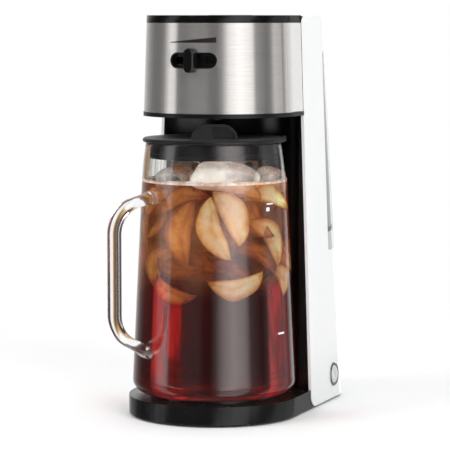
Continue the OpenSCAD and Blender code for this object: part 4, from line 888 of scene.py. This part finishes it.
def makeMarks():
    # plain short bars curved with the wall: a grid on each side, joined round the edges
    p = Paint("markWhite")
    worn = p.noise(900, 2, 0.6)
    material = p.finish({"Base Color": p.mix(worn * 0.3, rgb(250, 250, 250), rgb(226, 226, 226)),
                         "Roughness": 0.4, "Normal": p.bump(worn, 0.2, 0.0001)})
    rows, columns = 5, 15
    t = np.linspace(-0.5, 0.5, columns)[None, :]
    v = np.linspace(-0.5, 0.5, rows)[:, None]
    count, top = rows * columns, (rows - 1) * columns
    ring = np.concatenate([np.arange(columns), np.arange(1, rows) * columns + columns - 1,
                           np.arange(columns - 2, -1, -1) + top,
                           np.arange(rows - 2, 0, -1) * columns])
    following = np.roll(ring, -1)
    side = gridFaces(rows, columns, False)
    faces = np.vstack([side, side[:, ::-1] + count,
                       np.stack([ring, ring + count, following + count, following], -1)])
    for i, (bearing, height, length, tall) in enumerate(levelMarks["bars"]):
        h = height + v * tall + 0 * t
        reach = glassRadius(h - pitcher["foot"])
        angle = np.radians(bearing) + t * length / reach
        layers = [np.stack([(reach + lift) * np.sin(angle),
                            view["axisY"] / mm - (reach + lift) * np.cos(angle), h], -1)
                  for lift in (levelMarks["sunk"], levelMarks["raised"])]
        points = np.concatenate([layer.reshape(-1, 3) for layer in layers]) * mm
        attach(fixNormals(makePiece(f"levelMark{i + 1}", points, faces, material, 60)), "pitcher")


makeTea()
makeSlices(appleFlesh())
makeIce()
makeFoam()
makeMarks()
print("pitcher filled:", len(slices) + spiral["count"], "slices,", len(ice), "ice cubes")


# wedge printed on the steel above the slot: thin at the left, tall at the right
wedge = {"from": -19.4, "to": 18.4, "bottom": 322.4, "tall": 4.7, "thin": 0.5, "lift": 0.05,
         "ink": rgb(30, 24, 20), "worn": rgb(52, 44, 38)}
drumAxis = -16.0  # y of the steel's axis, in millimetres


def drumRadius(height):
    # the steel tapers evenly, so two rings of its own points give the radius at any height
    points = np.empty(len(nodes["steel_band"].data.vertices) * 3)
    nodes["steel_band"].data.vertices.foreach_get("co", points)
    points = points.reshape(-1, 3) / mm
    front = points[points[:, 1] < drumAxis]
    reach, level = np.hypot(front[:, 0], front[:, 1] - drumAxis), front[:, 2]
    (lowZ, lowR), (highZ, highR) = [(level[near].mean(), reach[near].max()) for near in
                                    (level < level.min() + 0.5, level > level.max() - 0.5)]
    return lowR + (highR - lowR) * (height - lowZ) / (highZ - lowZ)


def makeWedge():
    # a grid that widens evenly to the right; its edges meet the steel, the rest is lifted off it
    w, rows, columns = wedge, 7, 60
    t = np.linspace(0, 1, columns)[None, :]
    v = np.linspace(0, 1, rows)[:, None]
    height = w["bottom"] + v * (w["thin"] + (w["tall"] - w["thin"]) * t)
    angle = np.radians(w["from"] + (w["to"] - w["from"]) * t) + 0 * v
    lift = w["lift"] * (1 - np.abs(2 * v - 1) ** 6) * (1 - np.abs(2 * t - 1) ** 40)
    reach = drumRadius(height) + lift
    points = np.stack([reach * np.sin(angle), drumAxis - reach * np.cos(angle), height], -1) * mm
    p = Paint("printedBlack")
    worn = p.noise(700, 3, 0.6)
    material = p.finish({"Base Color": p.mix(worn * 0.4, w["ink"], w["worn"]),
                         "Roughness": 0.3 + worn * 0.15, "Normal": p.bump(worn, 0.2, 0.00005)})
    piece = makePiece("strengthWedge", points, gridFaces(rows, columns, False), material)
    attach(fixNormals(piece), "machine")


makeWedge()
print("wedge printed")


# floor in metres; from whiteFrom to whiteAll away from the middle it turns white to the camera
ground = {"size": 6.0, "whiteFrom": 0.30, "whiteAll": 0.75, "colour": rgb(243, 243, 243),
          "speck": rgb(240, 240, 240)}


def makeFloor():
    # pale and matt near the object, where the shadow lies; mirrored rays pass it everywhere, and
    # rays through clear pieces pass it further off, so that both show the studio
    p = Paint("paleFloor")
    speck = p.noise(5, 2, 0.5)
    matt = p.surface({"Base Color": p.mix(speck * 0.1, ground["colour"], ground["speck"]),
                      "Roughness": 0.9})
    far = p.node("ShaderNodeVectorMath", {"operation": "LENGTH"}, {0: p.place}, out=1)
    far = far.step(ground["whiteFrom"], ground["whiteAll"])
    camera, glossy, through = [p.node("ShaderNodeLightPath", out=i)
                               for i in (cameraRay, glossyRay, throughRay)]
    white = p.node("ShaderNodeEmission", None, {"Color": (1, 1, 1, 1), "Strength": 1.0})
    gone = p.node("ShaderNodeBsdfTransparent", None, {"Color": (1, 1, 1, 1)})
    shader = p.blend(camera * far, matt, white)
    shader = p.blend(glossy, shader, gone)
    p.output(p.blend(through * far, shader, gone))
    count = 25
    reach = np.linspace(-ground["size"] / 2, ground["size"] / 2, count)
    x, y = np.meshgrid(reach, reach)
    points = np.stack([x, y, np.zeros_like(x)], -1)
    floor = makePiece("floor", points, gridFaces(count, count, False), p.material)


makeFloor()
makeWorld()
makeLamps()
makeCamera()
bpy.context.scene.view_settings.view_transform = "Standard"
print("studio ready")
